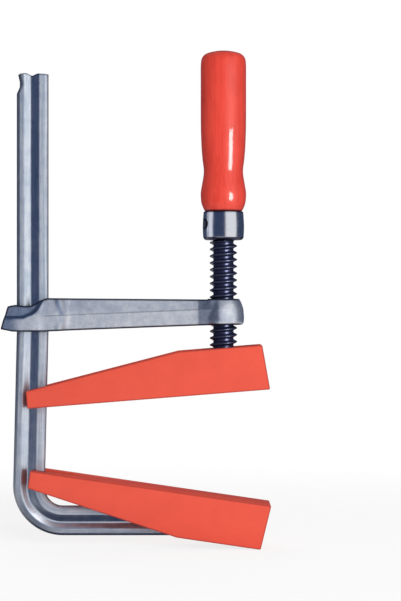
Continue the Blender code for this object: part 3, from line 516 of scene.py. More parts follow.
def red_lacquer():
    """Clear red lacquer over turned wood: long grain shows faintly, and the coat pools in it."""
    nodes = Finish("red_lacquer")
    places = nodes.places()
    grain = nodes.noise(900, 4, 0.6, nodes.mapped(places, scale=(1, 1, 0.05)))
    cloud = nodes.noise(110, 3, 0.55, nodes.mapped(places, scale=(1, 1, 0.4)))
    dips = nodes.noise(420, 2, 0.5)
    share = nodes.step(grain * 0.45 + cloud * 0.55, 0.34, 0.66)
    red = nodes.blend(share, (0.72, 0.056, 0.037), (0.86, 0.078, 0.051))
    colour = nodes.blend(nodes.field("rim"), red, (0.28, 0.018, 0.014))
    return nodes.surface(
        colour, 0.40 + grain * 0.1, grain * 0.3 + dips * 0.7, 0.000014,
        Specular_IOR_Level=0.1, Coat_Weight=0.35, Coat_Roughness=0.05, Coat_IOR=1.5,
    )


def jaw_paint(name, pivot, turn):
    """Matt stoved paint on a casting, with painted shade as a dark line along the edges and in the
    hollows away from them. Edge distances come from the jaw's own outline: each side of
    it is a plane, and the least height over those planes is the distance from the outline."""
    nodes = Finish(name)
    own = nodes.mapped(nodes.places(), (0, 0, pivot), turn, kind="TEXTURE")
    corners = [
        (JAW_BROAD, JAW_FACE), (JAW_BROAD - JAW_END_LEAN, JAW_OUTER), (JAW_BEND, JAW_OUTER),
        (JAW_TIP, JAW_TIP_TOP), (JAW_TIP, JAW_FACE),
    ]
    inset = None
    for (x, z), (next_x, next_z) in zip(corners, corners[1:] + corners[:1]):
        length = math.hypot(next_x - x, next_z - z)
        normal = (-(next_z - z) / length, 0, (next_x - x) / length)
        along = nodes.add("VectorMath", {"operation": "DOT_PRODUCT"}, {0: own, 1: normal}, "Value")
        height = along - (normal[0] * x + normal[2] * z)
        inset = height if inset is None else nodes.maths("MINIMUM", inset, height)
    across = nodes.add("SeparateXYZ", {}, {"Vector": own}, "Y")
    from_side = JAW_HALF_WIDTH - nodes.maths("ABSOLUTE", across)
    edge = nodes.maths("MAXIMUM", inset, from_side)
    # Painted shade: a dark line along the edges, in the same band where the paint is chipped.
    line = 1 - nodes.step(edge, 0.00025, 0.0011)
    # Painted shade in the hollows, away from the outline and the sides.
    painted_recess_shade = nodes.step(nodes.maths("MINIMUM", inset, from_side), 0.0030, 0.0080)
    peel = nodes.noise(1400, 2, 0.5, own)
    cloud = nodes.noise(60, 3, 0.55, own)
    specks = nodes.step(nodes.noise(2600, 2, 0.5, own), 0.70, 0.78)
    chipped = nodes.step(nodes.noise(520, 4, 0.6, own) * line, 0.60, 0.68)
    red = nodes.blend(cloud, (0.70, 0.085, 0.052), (0.86, 0.108, 0.066))
    red = nodes.blend(specks * 0.35, red, (0.50, 0.05, 0.035))
    red = nodes.blend(painted_recess_shade * 0.55, red, (0.40, 0.035, 0.025))
    red = nodes.blend(line * 0.55, red, (0.34, 0.035, 0.03))
    colour = nodes.blend(chipped, red, (0.16, 0.13, 0.14))
    return nodes.surface(
        colour, 0.52 + peel * 0.14, peel * 0.7 + cloud * 0.3, 0.00006,
        Specular_IOR_Level=0.35,
    )


# Rail and fixed arm

# Places across a face, with the groove's depth there as a share
GROOVE_LINE = [
    (-0.0047, 0), (-0.0039, 0.15), (-0.0012, 1), (-0.0003, 1), (0.0033, 0.15), (0.0041, 0),
]
GROOVE_EDGE = 0.0052
TOP_END = 0.014
NICK_FOOT = RAIL_TOP - 0.0115


def rail_profile():
    """The rail's outline across its width and thickness. Each face is crowned, falling with the
    square of the distance from its middle, and has a groove with straight walls and soft lips,
    which is deepest a little off the middle."""
    reach = RAIL_WIDTH / 2 - RAIL_CORNER
    across = spans(-reach, 10, -GROOVE_EDGE, 34, GROOVE_EDGE, 10, reach)
    groove = [(x, GROOVE_DEPTH * share) for x, share in GROOVE_LINE]
    crown = RAIL_CROWN * (across / reach) ** 2
    face = RAIL_THICKNESS / 2 - crown - soft_line(across, groove, CRISP)
    side = RAIL_THICKNESS / 2 - RAIL_CROWN - RAIL_CORNER
    quarter = np.radians(np.linspace(0, 90, 8)[1:])
    corner = stacked(reach + RAIL_CORNER * np.sin(quarter), -side - RAIL_CORNER * np.cos(quarter))
    half = np.vstack([stacked(across, -face), corner])
    return np.vstack([half, -half])


def rail_path():
    """Stations down the rail, round the bend and along the fixed arm: X, Z, heading and width. The
    rail leans from the collar down. In the bend the place is the bend's centre plus its radius
    times the sine and cosine."""
    lean_z = COLLAR_BOTTOM
    bend_z = FIXED_ARM + BEND_RADIUS
    start_z = bend_z + BEND_RADIUS * math.sin(LEAN)
    start_x = RAIL_MIDDLE - (lean_z - start_z) * math.tan(LEAN)
    bend_x = start_x + BEND_RADIUS * math.cos(LEAN)
    down = -math.pi / 2
    half_way = RAIL_TOP - 0.1
    z = np.append(spans(RAIL_TOP, 26, RAIL_TOP - TOP_END, 4, half_way, 6, lean_z), start_z)
    x = RAIL_MIDDLE - np.clip(lean_z - z, 0, None) * math.tan(LEAN)
    heading = np.where(z < lean_z, down - LEAN, down)
    straight = stacked(x, z, heading, RAIL_WIDTH)
    share = np.linspace(0, 1, 41)[1:]
    heading = down - LEAN + (math.pi / 2 + LEAN) * share
    width = RAIL_WIDTH + (ARM_WIDTH - RAIL_WIDTH) * ease(share)
    x = bend_x + BEND_RADIUS * np.sin(heading)
    bend = stacked(x, bend_z - BEND_RADIUS * np.cos(heading), heading, width)
    neck_low, neck_high = NECK_START - NECK_MARGIN, NECK_END + NECK_MARGIN
    x = spans(bend_x, 4, neck_low, 14, neck_high, 6, 0, 16, EYE_RADIUS)[1:]
    return np.vstack([straight, bend, stacked(x, FIXED_ARM, 0, ARM_WIDTH)])


def shear_line(x):
    """Height of the sheared top end at x."""
    top = RAIL_TOP
    knots = [
        (RAIL_BACK, top - 0.0009), (RAIL_BACK + 0.0009, top - 0.0006),
        (RAIL_BACK + RAIL_WIDTH / 3, top), (RAIL_MIDDLE, top - 0.0016),
        (RAIL_FRONT - RAIL_WIDTH / 3, top - 0.0003), (RAIL_FRONT, top - 0.0007),
    ]
    return soft_line(x, knots, BLUNT)


def nick_line(z):
    """How far the nick in the back edge reaches towards the front at height z."""
    knots = [
        (NICK_FOOT, RAIL_BACK), (RAIL_TOP - 0.0067, RAIL_BACK + 0.0022),
        (RAIL_TOP - 0.0006, RAIL_BACK + 0.0009),
    ]
    return soft_line(z, knots, BLUNT)


def eye_top(x):
    """Height of the fixed arm's upper edge over the pivot, round about it at the end."""
    knots = [(NECK_START, ARM_WIDTH / 2 - ARM_DROP), (NECK_END, EYE_RADIUS), (0, EYE_RADIUS)]
    round_end = np.sqrt(np.clip(EYE_RADIUS ** 2 - x ** 2, 0, None))
    return np.where(x > 0, round_end, soft_line(x, knots, CRISP))


def rail_points(profile, path):
    """The profile carried along the path. Heading turns its width, and only the lands beside the
    groove take up a change of width. The top rows follow the shear line, the back edge keeps clear
    of the nick, and the far end is held inside the eye."""
    x, z, heading, width = path.T[:, :, None]
    across, y = profile.T[:, None]
    core = GROOVE_HALF + GROOVE_LIP
    stretch = (width / 2 - core) / (RAIL_WIDTH / 2 - core)
    outer = np.clip(np.abs(across) - core, 0, None) * stretch
    across = np.sign(across) * (np.minimum(np.abs(across), core) + outer)
    x = x - across * np.sin(heading)
    z = z + across * np.cos(heading)
    lift = np.clip((z - RAIL_TOP + TOP_END) / TOP_END, 0, None)
    z = z + lift * (shear_line(x) - RAIL_TOP)
    x = np.where(z > RAIL_TOP - TOP_END, np.maximum(x, nick_line(z)), x)
    cut = np.clip(x - EYE_RADIUS + EYE_CUT, 0, None)
    held = np.clip(z, FIXED_ARM - ARM_WIDTH / 2 + cut, LOWER_PIVOT + eye_top(x))
    z = np.where(x > NECK_START - NECK_MARGIN, held, z)
    points = stacked(x, y, z)
    shut = np.array([1.0, 0.0, 1.0])
    return np.concatenate([points[:1] * shut, points, points[-1:] * shut])


def rail_shades(points, profile, path):
    """Rim is painted shade: a line along both edges, broad at the back on the shaded side, the
    sheared end, the nick, and the outer land of the bend by the sine of the share turned. Land is 1
    beside the groove."""
    x, z = points[..., 0], points[..., 2]
    edge = np.abs(profile[:, 0])
    line_width = np.where(profile[:, 0] < 0, 0.0021, 0.0007)
    sides = ease(edge - RAIL_WIDTH / 2 + line_width, 0, 0.0006) * 0.7
    end = ease(z - shear_line(x), -0.0009, -0.0001)
    nick = (1 - ease(x - nick_line(z), 0.0014, 0.0036)) * (z > NICK_FOOT) * 0.85
    share_turned = np.clip(1 + path[:, 2:3] / (math.pi / 2 + LEAN), 0, 1)
    # Painted shade on the bend's outer land, which faces away from the light.
    bend = np.sin(math.pi * np.pad(share_turned, ((1, 1), (0, 0)), "edge"))
    bend = bend * (profile[:, 0] < -GROOVE_HALF) * 0.55
    rim = np.maximum(np.maximum(sides, end), np.maximum(nick, bend))
    land = np.broadcast_to(ease(edge - GROOVE_HALF, -0.0002, 0.0006), rim.shape)
    return rim, land


def make_rail(finish):
    """The bar. Its lay is how far along it and how far round it each point is."""
    profile, path = rail_profile(), rail_path()
    points = rail_points(profile, path)
    along = distances(points.mean(1))[:, None]
    round_it = distances(np.vstack([profile, profile[:1]]))
    lay = stacked(along, round_it)
    rim, land = rail_shades(points, profile, path)
    mesh = skin("rail_bar", points, lay, rim=rim, land=land)
    piece("rail_bar", mesh, finish, "rail", ["rail"])


# Sliding arm

COLLAR_TOP_SHARES = [
    (0, 0.075), (0.14, 0.765), (0.3, 0.81), (0.5, 0.775), (0.63, 0.78), (0.735, 0.85),
    (0.83, 0.935), (0.93, 0.985),
]
COLLAR_FOOT_SHARES = [(0, 0.075), (0.26, 0), (0.97, 0)]
SETBACK_SHARES = [
    (-0.2, 0.395), (0.48, 0.395), (0.68, 0.507), (0.75, 0.582), (0.803, 0.68), (0.857, 0.806),
    (0.92, 0.96), (0.98, 1.5),
]
BOSS_TOP_SHARES = [(0.74, 1), (0.8, 0.955), (0.9, 0.78), (0.965, 0.62), (0.99, 0.42), (1, 0.25)]
BOSS_FOOT_SHARES = [(0.86, 0), (0.93, 0.02), (0.985, 0.1), (1, 0.25)]
SLOPE_START = RAIL_FRONT + 0.0052
SLOPE_END = SLOPE_START + 0.0078
FLARE_START = -BOSS_RADIUS * 1.25
FLARE_END = -BOSS_RADIUS * 0.5
BACK_END = COLLAR_BACK + 0.003

# The forging's finer forms
PARTING_DEPTH = 0.0095
PARTING_RISE = 0.0041
EDGE_ROUND = 0.0009
DRAFT = 0.0008
RIDGE_HEIGHT = 0.00012
RIDGE_WIDTH = 0.00028
BEAD_HEIGHT = 0.0005
BEAD_WIDTH = 0.0018
FOLD_BOW = 0.0026
FOLD_REACH = 0.0052
STEP_WIDTH = 0.0015


def collar_places(shares):
    return [(COLLAR_BACK + COLLAR_LENGTH * x, COLLAR_BOTTOM + COLLAR_HEIGHT * z) for x, z in shares]


def with_boss(x, web, shares, blank, outermost):
    """The web's edge, which stops at the flare, or the boss's own edge where that lies further
    out. The boss's edge is the height at which it is as wide as x, by its radius and height."""
    radius, height = np.array(shares).T
    boss = BOSS_BOTTOM + BOSS_HEIGHT * np.interp(np.abs(x) / BOSS_RADIUS, radius, height)
    web = np.where(x > FLARE_END, blank, web)
    return np.where(np.abs(x) <= BOSS_RADIUS, outermost(web, boss), web)


def arm_top(x):
    """Upper edge: over the collar by its shares, then straight to the boss."""
    knots = collar_places(COLLAR_TOP_SHARES)
    knots += [(RAIL_FRONT, ARM_TOP + ARM_TOP_RISE), (0, ARM_TOP)]
    web = soft_line(x, knots, CRISP)
    return with_boss(x, web, BOSS_TOP_SHARES, BOSS_BOTTOM, np.maximum)


def arm_foot(x):
    """Lower edge: it rises with the 0.95th power of the share of the way to the spindle."""
    share = np.linspace(0, 1, 24)
    rise = BOSS_BOTTOM - COLLAR_BOTTOM
    knots = collar_places(COLLAR_FOOT_SHARES)
    knots += list(zip(RAIL_FRONT * (1 - share), ARM_ROOT_BOTTOM + rise * share ** 0.95))
    web = soft_line(x, knots, CRISP)
    return with_boss(x, web, BOSS_FOOT_SHARES, BOSS_TOP, np.minimum)


def arm_parting(x):
    """Height of the parting line, level on the collar and rising evenly to the spindle."""
    share = np.clip((x - RAIL_FRONT) / -RAIL_FRONT, 0, 1)
    return ARM_TOP - PARTING_DEPTH + PARTING_RISE * share


def fold_place(x, z):
    """Where the fold lies at height z: it bows towards the spindle near the parting line."""
    return SLOPE_START + FOLD_BOW * hump(z - arm_parting(x), FOLD_REACH)


def outline_distance(x, z):
    """Least distance of each place from the arm's upper and lower edges seen from the front."""
    past_flare = 0.004
    ahead = spans(COLLAR_BACK, 30, BACK_END, 50, RAIL_FRONT, 40, past_flare)
    least = np.full(x.shape, 1.0)
    for line in (arm_top, arm_foot):
        height = line(ahead)
        start = stacked(ahead[:-1], height[:-1])
        step = stacked(ahead[1:], height[1:]) - start
        for s, d in zip(start, step):
            t = np.clip(((x - s[0]) * d[0] + (z - s[1]) * d[1]) / (d @ d), 0, 1)
            away = np.hypot(x - s[0] - t * d[0], z - s[1] - t * d[1])
            least = np.minimum(least, away)
    return least


def arm_half_depth(x, z):
    """Half depth of the forging at each place. The web leans in from its parting line, has a fine
    ridge there and a round edge; a bead runs down where the collar slopes to the web; the collar's
    upper part is set back behind a drafted step; and the boss is the root of its radius squared
    less x squared."""
    leave = ease(x, SLOPE_START, SLOPE_END)
    flare = np.clip((x - FLARE_START) / (FLARE_END - FLARE_START), 0, 1)
    half = COLLAR_HALF + (WEB_HALF - COLLAR_HALF) * leave + (FLARE_HALF - WEB_HALF) * flare
    half = half + BEAD_HEIGHT * hump(x - fold_place(x, z) - BEAD_WIDTH, BEAD_WIDTH)
    drafted = ease(x, RAIL_FRONT - 0.006, RAIL_FRONT - 0.002)
    parting = arm_parting(x)
    top, foot = arm_top(x), arm_foot(x)
    above = np.clip((z - parting - CRISP) / (top - parting), 0, 1)
    below = np.clip((parting - CRISP - z) / (parting - foot), 0, 1)
    half = half - DRAFT * drafted * (above * (1 + 1.5 * leave) + below * (1 + leave))
    half = half + RIDGE_HEIGHT * hump(z - parting, RIDGE_WIDTH) * drafted * (1 - flare)
    line = collar_places(SETBACK_SHARES)
    level = soft_line(x, line, BLUNT)
    slope = np.gradient(soft_line(x[:, 0], line, BLUNT), x[:, 0])[:, None]
    back = ease(z - level, 0, STEP_WIDTH * (1 + np.abs(slope)))
    half = np.where(x < RAIL_FRONT, half - back * (half - SETBACK_HALF), half)
    near = np.clip(outline_distance(x, z), 0, EDGE_ROUND)
    round_off = EDGE_ROUND - np.sqrt(EDGE_ROUND ** 2 - (EDGE_ROUND - near) ** 2)
    half = np.where(x < FLARE_END, half - round_off, 0)
    radius, height = np.array(BOSS_FOOT_SHARES + BOSS_TOP_SHARES[-2::-1]).T
    up = (z - BOSS_BOTTOM) / BOSS_HEIGHT
    wide = BOSS_RADIUS * soft_line(up, list(zip(height, radius)), 0.02)
    hair = 1e-6
    inside = (up >= -hair) & (up <= 1 + hair)
    boss = np.where(inside, np.sqrt(np.clip(wide ** 2 - x ** 2, 0, None)), 0)
    return np.maximum(half, boss)


def forged_arm():
    """Sections across the arm, from the collar's back to the boss's tip. Each one runs along the
    foot, up the side in steps that crowd at the edges and the parting line, and along the top,
    and its other half is mirrored."""
    tip = BOSS_RADIUS * np.sin(np.radians(np.linspace(-30, 90, 36)))
    first = COLLAR_BACK + 0.00025
    x = np.concatenate([
        spans(first, 16, BACK_END, 56, RAIL_FRONT, 30, SLOPE_END, 26, FLARE_START, 20,
              FLARE_END)[:-1],
        tip,
    ])[:, None]
    foot, top = arm_foot(x), arm_top(x)
    parting = np.clip(arm_parting(x), foot + (top - foot) * 0.2, top - (top - foot) * 0.2)
    crowd = (1 - np.cos(np.linspace(0, math.pi, 26))) / 2
    z = np.concatenate([foot + (parting - foot) * crowd, parting + (top - parting) * crowd[1:]], 1)
    wide = np.broadcast_to(x, z.shape)
    half = arm_half_depth(wide, z)
    for _ in range(3):
        half[1:-1] = (half[:-2] + 2 * half[1:-1] + half[2:]) / 4
        half[:, 1:-1] = (half[:, :-2] + 2 * half[:, 1:-1] + half[:, 2:]) / 4
    half[-1] = 0
    steps = 6
    inward = np.linspace(0, 1, steps + 1)[:-1]
    y = np.concatenate([half[:, :1] * inward, half, half[:, -1:] * inward[::-1]], axis=1)
    z = np.concatenate([np.repeat(z[:, :1], steps, 1), z, np.repeat(z[:, -1:], steps, 1)], axis=1)
    y = np.concatenate([y, -y[:, ::-1]], axis=1)
    z = np.concatenate([z, z[:, ::-1]], axis=1)
    points = stacked(x, y, z)
    back = points[:1].copy()
    back[..., 2] = z[0].mean()
    return np.concatenate([back, points])


def arm_painted_shade(places):
    """Painted shade in dark blue, kept in the skin field: on the set back face and its step, by the
    lower corner behind the rail, in the fold at the collar's slope, in the hollow beside the boss
    and, thinly, over the upper half of the web."""
    x, z = places[:, 0], places[:, 2]
    from_step = z - soft_line(x, collar_places(SETBACK_SHARES), BLUNT)
    from_parting = z - arm_parting(x)
    set_back = ease(from_step, -0.0006, 0.0004) * (x < RAIL_FRONT)
    step = hump(from_step - 0.0006, 0.0009) * (x < RAIL_FRONT)
    corner = ease(RAIL_BACK + 0.006 - x, 0, 0.010)
    fold = hump(x - fold_place(x, z) - 0.0002, 0.0020)
    fold = fold * (0.32 + 0.43 * ease(from_parting, -0.001, 0.001))
    hollow = ease(x, FLARE_START, FLARE_START + 0.001) * (1 - ease(x, -0.0035, -0.0023)) * 0.55
    # Painted shade: the upper half of the web is darker, as it turns from the light.
    upper = ease(from_parting, 0, 0.003) * (1 - ease(x, -0.10, -0.04)) * 0.28
    thin = np.maximum(np.maximum(fold, hollow), upper) * (x > RAIL_BACK + 0.012)
    return np.clip(np.maximum(np.maximum(set_back, corner) * 0.8, thin) + step * 0.5, 0, 1)


def arm_rim(places):
    """Painted shade as a dark line along the upper and lower edges of both sides and, fainter, a
    dark line along the parting line.
    """
    x, y, z = places.T
    from_boss_ends = np.minimum(BOSS_TOP - z, z - BOSS_BOTTOM)
    away = np.where(x < FLARE_END, outline_distance(x, z), from_boss_ends)
    side = (1 - ease(away, 0.0006, 0.0013)) * ease(np.abs(y), 0.0035, 0.0055)
    on_web = ease(x, RAIL_FRONT - 0.004, RAIL_FRONT - 0.001) * (1 - ease(x, -0.016, -0.013))
    return np.maximum(side, hump(z - arm_parting(x), 0.0003) * on_web * 0.45)


def make_sliding_arm(finish):
    """The forging, with the rail's window, the thread's bore and the friction pins' blind holes
    cut out. Each cutter runs out past the surface."""
    half_window = RAIL_THICKNESS / 2 + RAIL_PLAY
    overrun = 0.01
    window = box_mesh(
        (RAIL_BACK - RAIL_PLAY, -half_window, COLLAR_BOTTOM - overrun),
        (RAIL_FRONT + RAIL_PLAY, half_window, ARM_TOP + overrun),
    )
    bore_radius, bore_length, bore_middle = THREAD_RADIUS + 0.0003, 0.03, BOSS_BOTTOM + 0.007
    cutters = [window, bar_mesh(bore_radius, bore_length, ALONG_Z, (0, 0, bore_middle))]
    hole_radius, hole_gap, hole_overrun = 0.0028, 0.0003, 0.006
    for name in ("friction_pin_upper", "friction_pin_lower"):
        middle, size = middle_and_size(name)
        length = size.y + hole_overrun
        place = (middle.x, middle.y - size.y / 2 - hole_gap + length / 2, middle.z)
        cutters.append(bar_mesh(hole_radius, length, ALONG_Y, place))
    mesh = cut_out(skin("forged_arm", forged_arm()), *cutters)
    places = vertex_places(mesh)
    set_field(mesh, "rim", arm_rim(places))
    # The skin field holds painted shade in dark blue.
    set_field(mesh, "skin", arm_painted_shade(places))
    set_field(mesh, "boss", ease(places[:, 0], FLARE_START, FLARE_START + 0.005))
    piece("forged_arm", mesh, finish, "arm", ["sliding_arm"])


# Spindle


def thread_tooth(phase):
    """Height of the thread's tooth over its core as a share, by the share of a turn: up a flank,
    along the crest and down the other flank, averaged a little to both sides."""
    shifts = np.linspace(-0.035, 0.035, 7)
    turns = np.mod(phase[..., None] + shifts, 1)
    return np.interp(turns, [0, 0.26, 0.41, 0.67, 1], [0, 1, 1, 0, 0]).mean(-1)


def rings(rows, columns):
    """Rings of equal radius, from radius and height pairs."""
    radius, height = np.array(rows, float).T[..., None] * np.ones(columns)
    return radius, height


def make_spindle(finish):
    """Nose, thread, shank and square tang on one grid of heights and angles. On the thread the
    radius is the core's plus the tooth at the height over the pitch less the share of a turn. On
    the tang it is half the width over the larger of sine and cosine, held in at the corners."""
    columns = 64
    angle = np.linspace(0, 2 * math.pi, columns, endpoint=False)
    tip, top = (corner.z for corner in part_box("spindle"))
    shoulder = THREAD_LOW - 2 * TURNED_EDGE
    wall, groove_half = 0.0001, NOSE_GROOVE_HALF
    nose = rings([
        (0, tip), (NOSE_RADIUS - TURNED_EDGE, tip), (NOSE_RADIUS, tip + TURNED_EDGE),
        (NOSE_RADIUS, NOSE_GROOVE - groove_half - wall),
        (NOSE_GROOVE_RADIUS, NOSE_GROOVE - groove_half),
        (NOSE_GROOVE_RADIUS, NOSE_GROOVE + groove_half),
        (NOSE_RADIUS, NOSE_GROOVE + groove_half + wall),
        (NOSE_RADIUS, shoulder - 0.00001), (NOSE_RADIUS, shoulder),
        (THREAD_CORE - 0.00025, shoulder), (THREAD_CORE, shoulder + TURNED_EDGE),
    ], columns)
    height = np.linspace(THREAD_LOW, THREAD_HIGH, 520)[:, None] * np.ones(columns)
    start_share, run_out = 0.62, 0.0012
    phase = (height - THREAD_LOW) / THREAD_PITCH - start_share - angle / (2 * math.pi)
    fade = np.clip(np.minimum(height - THREAD_LOW, THREAD_HIGH - height) / run_out, 0, 1)
    tooth = thread_tooth(phase) * fade
    thread = (THREAD_CORE + (THREAD_RADIUS - THREAD_CORE) * tooth, height)
    tang_low = FERRULE_TOP - TURNED_EDGE
    shank = rings([(SHANK_RADIUS, THREAD_HIGH + TURNED_EDGE), (SHANK_RADIUS, tang_low)], columns)
    square = TANG_HALF / np.maximum(np.abs(np.cos(angle)), np.abs(np.sin(angle)))
    shares, levels = rings([(1, tang_low), (1, top - 0.0006), (0.86, top), (0, top)], columns)
    tang = (np.minimum(square, TANG_CORNER) * shares, levels)
    radius, level = (np.concatenate(rows) for rows in zip(nose, thread, shank, tang))
    points = stacked(radius * np.cos(angle), radius * np.sin(angle), level)
    mesh = skin("screw_spindle", points)
    x, y, z = vertex_places(mesh).T
    crest = (np.hypot(x, y) - THREAD_CORE) / (THREAD_RADIUS - THREAD_CORE)
    set_field(mesh, "crest", np.clip(crest, 0, 1) * (z < THREAD_HIGH))
    piece("screw_spindle", mesh, finish, "spindle", ["spindle"], 60)


# Ferrule, pins, washers and handle


def make_ferrule(finish, pin_finish):
    """A slightly barrelled tube turned from its outline, with its cross pin's hole."""
    low, high = THREAD_HIGH, FERRULE_TOP
    outer, bore = FERRULE_RADIUS, FERRULE_BORE
    knots = [
        (outer - 0.0009, high), (outer - 0.0004, high - 0.0002), (outer - 0.0001, high - 0.0012),
        (outer + 0.0003, low + FERRULE_HEIGHT / 2), (outer + 0.0001, low + 0.0022),
        (outer - 0.0001, low + 0.0014), (outer - 0.0005, low + 0.0006), (outer - 0.0014, low),
    ]
    profile = np.vstack([[(bore, high)], smooth_curve(knots, 6), [(bore, low), (bore, high)]])
    hole_radius, hole_length = 0.0033, 0.04
    hole = bar_mesh(hole_radius, hole_length, CROSS_PIN_TURN, CROSS_PIN_PLACE)
    mesh = cut_out(turned("ferrule_tube", profile, 128), hole)
    x, y, z = vertex_places(mesh).T
    # Painted shade: dark lines at both ends, broader at the foot, and the bore dark all over.
    edge = np.minimum(z - low, high - z)
    line_width = np.where(z < low + 0.005, 0.0011, 0.0003)
    rim = 1 - ease(edge - line_width, 0, 0.0007)
    set_field(mesh, "rim", np.where(np.hypot(x, y) > bore + 0.0007, rim, 1))
    piece("ferrule_tube", mesh, finish, "spindle", ["ferrule"])
    half = outer + 0.0008
    end = smooth_curve([
        (0, half), (0.0014, half - 0.0001), (0.0024, half - 0.0004), (0.0029, half - 0.0009),
        (0.003, half - 0.0016),
    ], 5)
    make_pin("ferrule_rivet", end, CROSS_PIN_TURN, CROSS_PIN_PLACE, pin_finish, "spindle",
             "ferrule_pin")


def make_pin(name, end, turn, place, finish, body, node):
    """A pin turned from the outline of its end, which is mirrored for the other one. Its rim runs
    from 0 in the middle of the ends to 1."""
    end = np.array(end)
    mesh = turned(name, np.vstack([end, end[::-1] * [1, -1]]), 40, turn, place)
    away = (vertex_places(mesh) - np.array(place)) @ np.array(turn.to_3x3())
    radius = np.hypot(away[:, 0], away[:, 1])
    set_field(mesh, "rim", ease(radius / end[:, 0].max(), 0.55, 0.80))
    piece(name, mesh, finish, body, [node])


def middle_and_size(node):
    low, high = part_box(node)
    return (low + high) / 2, high - low


def make_straight_pins(finish):
    """Pins along Y through the collar and the jaws, with small chamfers at both ends."""
    pins = [
        ("friction_pin_upper", "arm"), ("friction_pin_lower", "arm"),
        ("upper_pivot_pin", "foot"), ("lower_pivot_pin", "rail"),
        ("nose_pin_left", "foot"), ("nose_pin_right", "foot"),
    ]
    chamfer = 0.0005
    for node, body in pins:
        middle, size = middle_and_size(node)
        radius, half = size.x / 2, size.y / 2
        end = [
            (0, half), (radius - chamfer, half), (radius - chamfer * 0.3, half - chamfer * 0.24),
            (radius, half - chamfer),
        ]
        make_pin(node + "_bar", end, ALONG_Y, middle, finish, body, node)


def make_washers(finish):
    """Flat rings turned from an outline with small rounded edges."""
    washers = [("thrust_washer", "foot", 0.0048, ALONG_Z)]
    for level in ("upper", "lower"):
        for side in ("front", "back"):
            washers.append((f"{level}_friction_washer_{side}", level + "_jaw", 0.0033, ALONG_Y))
    for node, body, bore, turn in washers:
        middle, size = middle_and_size(node)
        radius, half = size.x / 2, min(size) / 2
        soft = half * 0.35
        profile = [
            (bore, half), (radius - soft, half), (radius, half - soft), (radius, soft - half),
            (radius - soft, -half), (bore, -half), (bore, half),
        ]
        mesh = turned(node + "_ring", profile, 64, turn, middle)
        piece(node + "_ring", mesh, finish, body, [node])


HANDLE_SHARES = [
    (0.0, 1.0), (0.31, 0.997), (0.56, 0.99), (0.76, 0.981), (0.89, 0.967), (0.97, 0.945),
    (1.0, 0.90), (1.0, 0.80), (1.0, 0.66), (0.995, 0.52), (0.965, 0.40), (0.915, 0.315),
    (0.868, 0.265), (0.872, 0.228), (0.93, 0.175), (0.99, 0.125), (1.0, 0.095), (0.975, 0.055),
    (0.9, 0.022), (0.82, 0.0),
]


def make_handle(finish):
    """The handle's outline, a smooth curve through its turning marks, turned about the spindle."""
    curve = smooth_curve(HANDLE_SHARES, 8) * [HANDLE_RADIUS, HANDLE_LENGTH]
    profile = np.vstack([np.clip(curve, 0, None), [(0, 0)]]) + [0, HANDLE_BOTTOM]
    mesh = turned("turned_handle", profile, 112)
    z = vertex_places(mesh)[:, 2]
    set_field(mesh, "rim", 1 - ease(z - HANDLE_BOTTOM, 0, 0.0011))
    piece("turned_handle", mesh, finish, "spindle", ["handle"], 50)


# Jaws and blocks


def solid_copy(name, node, finish, body):
    """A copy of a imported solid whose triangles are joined, for smooth shading."""
    mesh = merged(NODES[node].data.copy())
    piece(name, mesh, finish, body, [node], 34)


# Studio

STUDIO_MIDDLE = (-0.03, 0, 0.12)
CARD_DISTANCE = 1.9
CAMERA_DISTANCE = 1.1
FRAME_HEIGHT = 0.3522
SENSOR = 36.0


def direction(azimuth, elevation):
    """One metre that way. Azimuth 0 is towards the camera and runs on to the right: across is the
    azimuth's sine times the elevation's cosine, and up is the elevation's sine."""
    a, e = np.radians(azimuth), np.radians(elevation)
    return stacked(np.sin(a) * np.cos(e), -np.cos(a) * np.cos(e), np.sin(e))


def add_lamp(name, centre, distance, azimuth, elevation, size, power):
    """A soft lamp that lights all that scatters light and isn't mirrored itself."""
    data = bpy.data.lights.new(name, "AREA")
    data.shape = "RECTANGLE"
    data.size, data.size_y = size
    data.energy = power
    lamp = new_object(name, data)
    away = Vector(direction(azimuth, elevation)) * distance
    lamp.location = Vector(centre) + away
    lamp.rotation_mode = "QUATERNION"
    lamp.rotation_quaternion = (-away).to_track_quat("-Z", "Y")
    lamp.visible_glossy = False
    return lamp


def add_window(piece_name, centre, azimuth, elevation, size, brightness, distance=0.8, shaded=True):
    """A window that only shows as a highlight on one piece, at this many times white. Where it
    isn't shaded, only that piece stands in its light."""
    power = brightness * math.pi * size[0] * size[1]
    lamp = add_lamp(piece_name + "_window", centre, distance, azimuth, elevation, size, power)
    lamp.visible_glossy = True
    lamp.visible_camera = False
    lamp.visible_diffuse = False
    group = bpy.data.collections.new(lamp.name)
    group.objects.link(bpy.data.objects[piece_name])
    lamp.light_linking.receiver_collection = group
    if not shaded:
        lamp.light_linking.blocker_collection = group


def add_card(name, azimuths, elevations, colour):
    """A card, part of a ball round the studio, that only mirrored rays see."""
    way = direction(np.linspace(*azimuths, 41)[:, None], np.linspace(*elevations, 13))
    show_to_mirrors(name, CARD_DISTANCE * way + STUDIO_MIDDLE, colour)


def add_mat(name, across, away, level, colour):
    """A mat on the floor, from side to side and front to back, that only mirrored rays see."""
    show_to_mirrors(name, stacked(np.array(across)[:, None], away, level), colour)


def show_to_mirrors(name, points, colour):
    """An open sheet over a grid of points, glowing evenly, that only mirrored rays see."""
    mesh = grid_mesh(name, points, joined=False)
    nodes = Finish(name)
    glow = nodes.add("Emission", {}, {"Color": colour, "Strength": 1.0})
    mesh.materials.append(nodes.finished(glow))
    card = new_object(name, mesh)
    for rays in ("camera", "diffuse", "shadow", "transmission"):
        setattr(card, "visible_" + rays, False)


def seen_directly(nodes):
    """1 for rays from the camera, a mirror or glass, and 0 for light that is scattered."""
    seen = nodes.add("LightPath", output="Is Camera Ray")
    for kind in ("Is Glossy Ray", "Is Transmission Ray"):
        seen = nodes.maths("MAXIMUM", seen, nodes.add("LightPath", output=kind))
    return seen


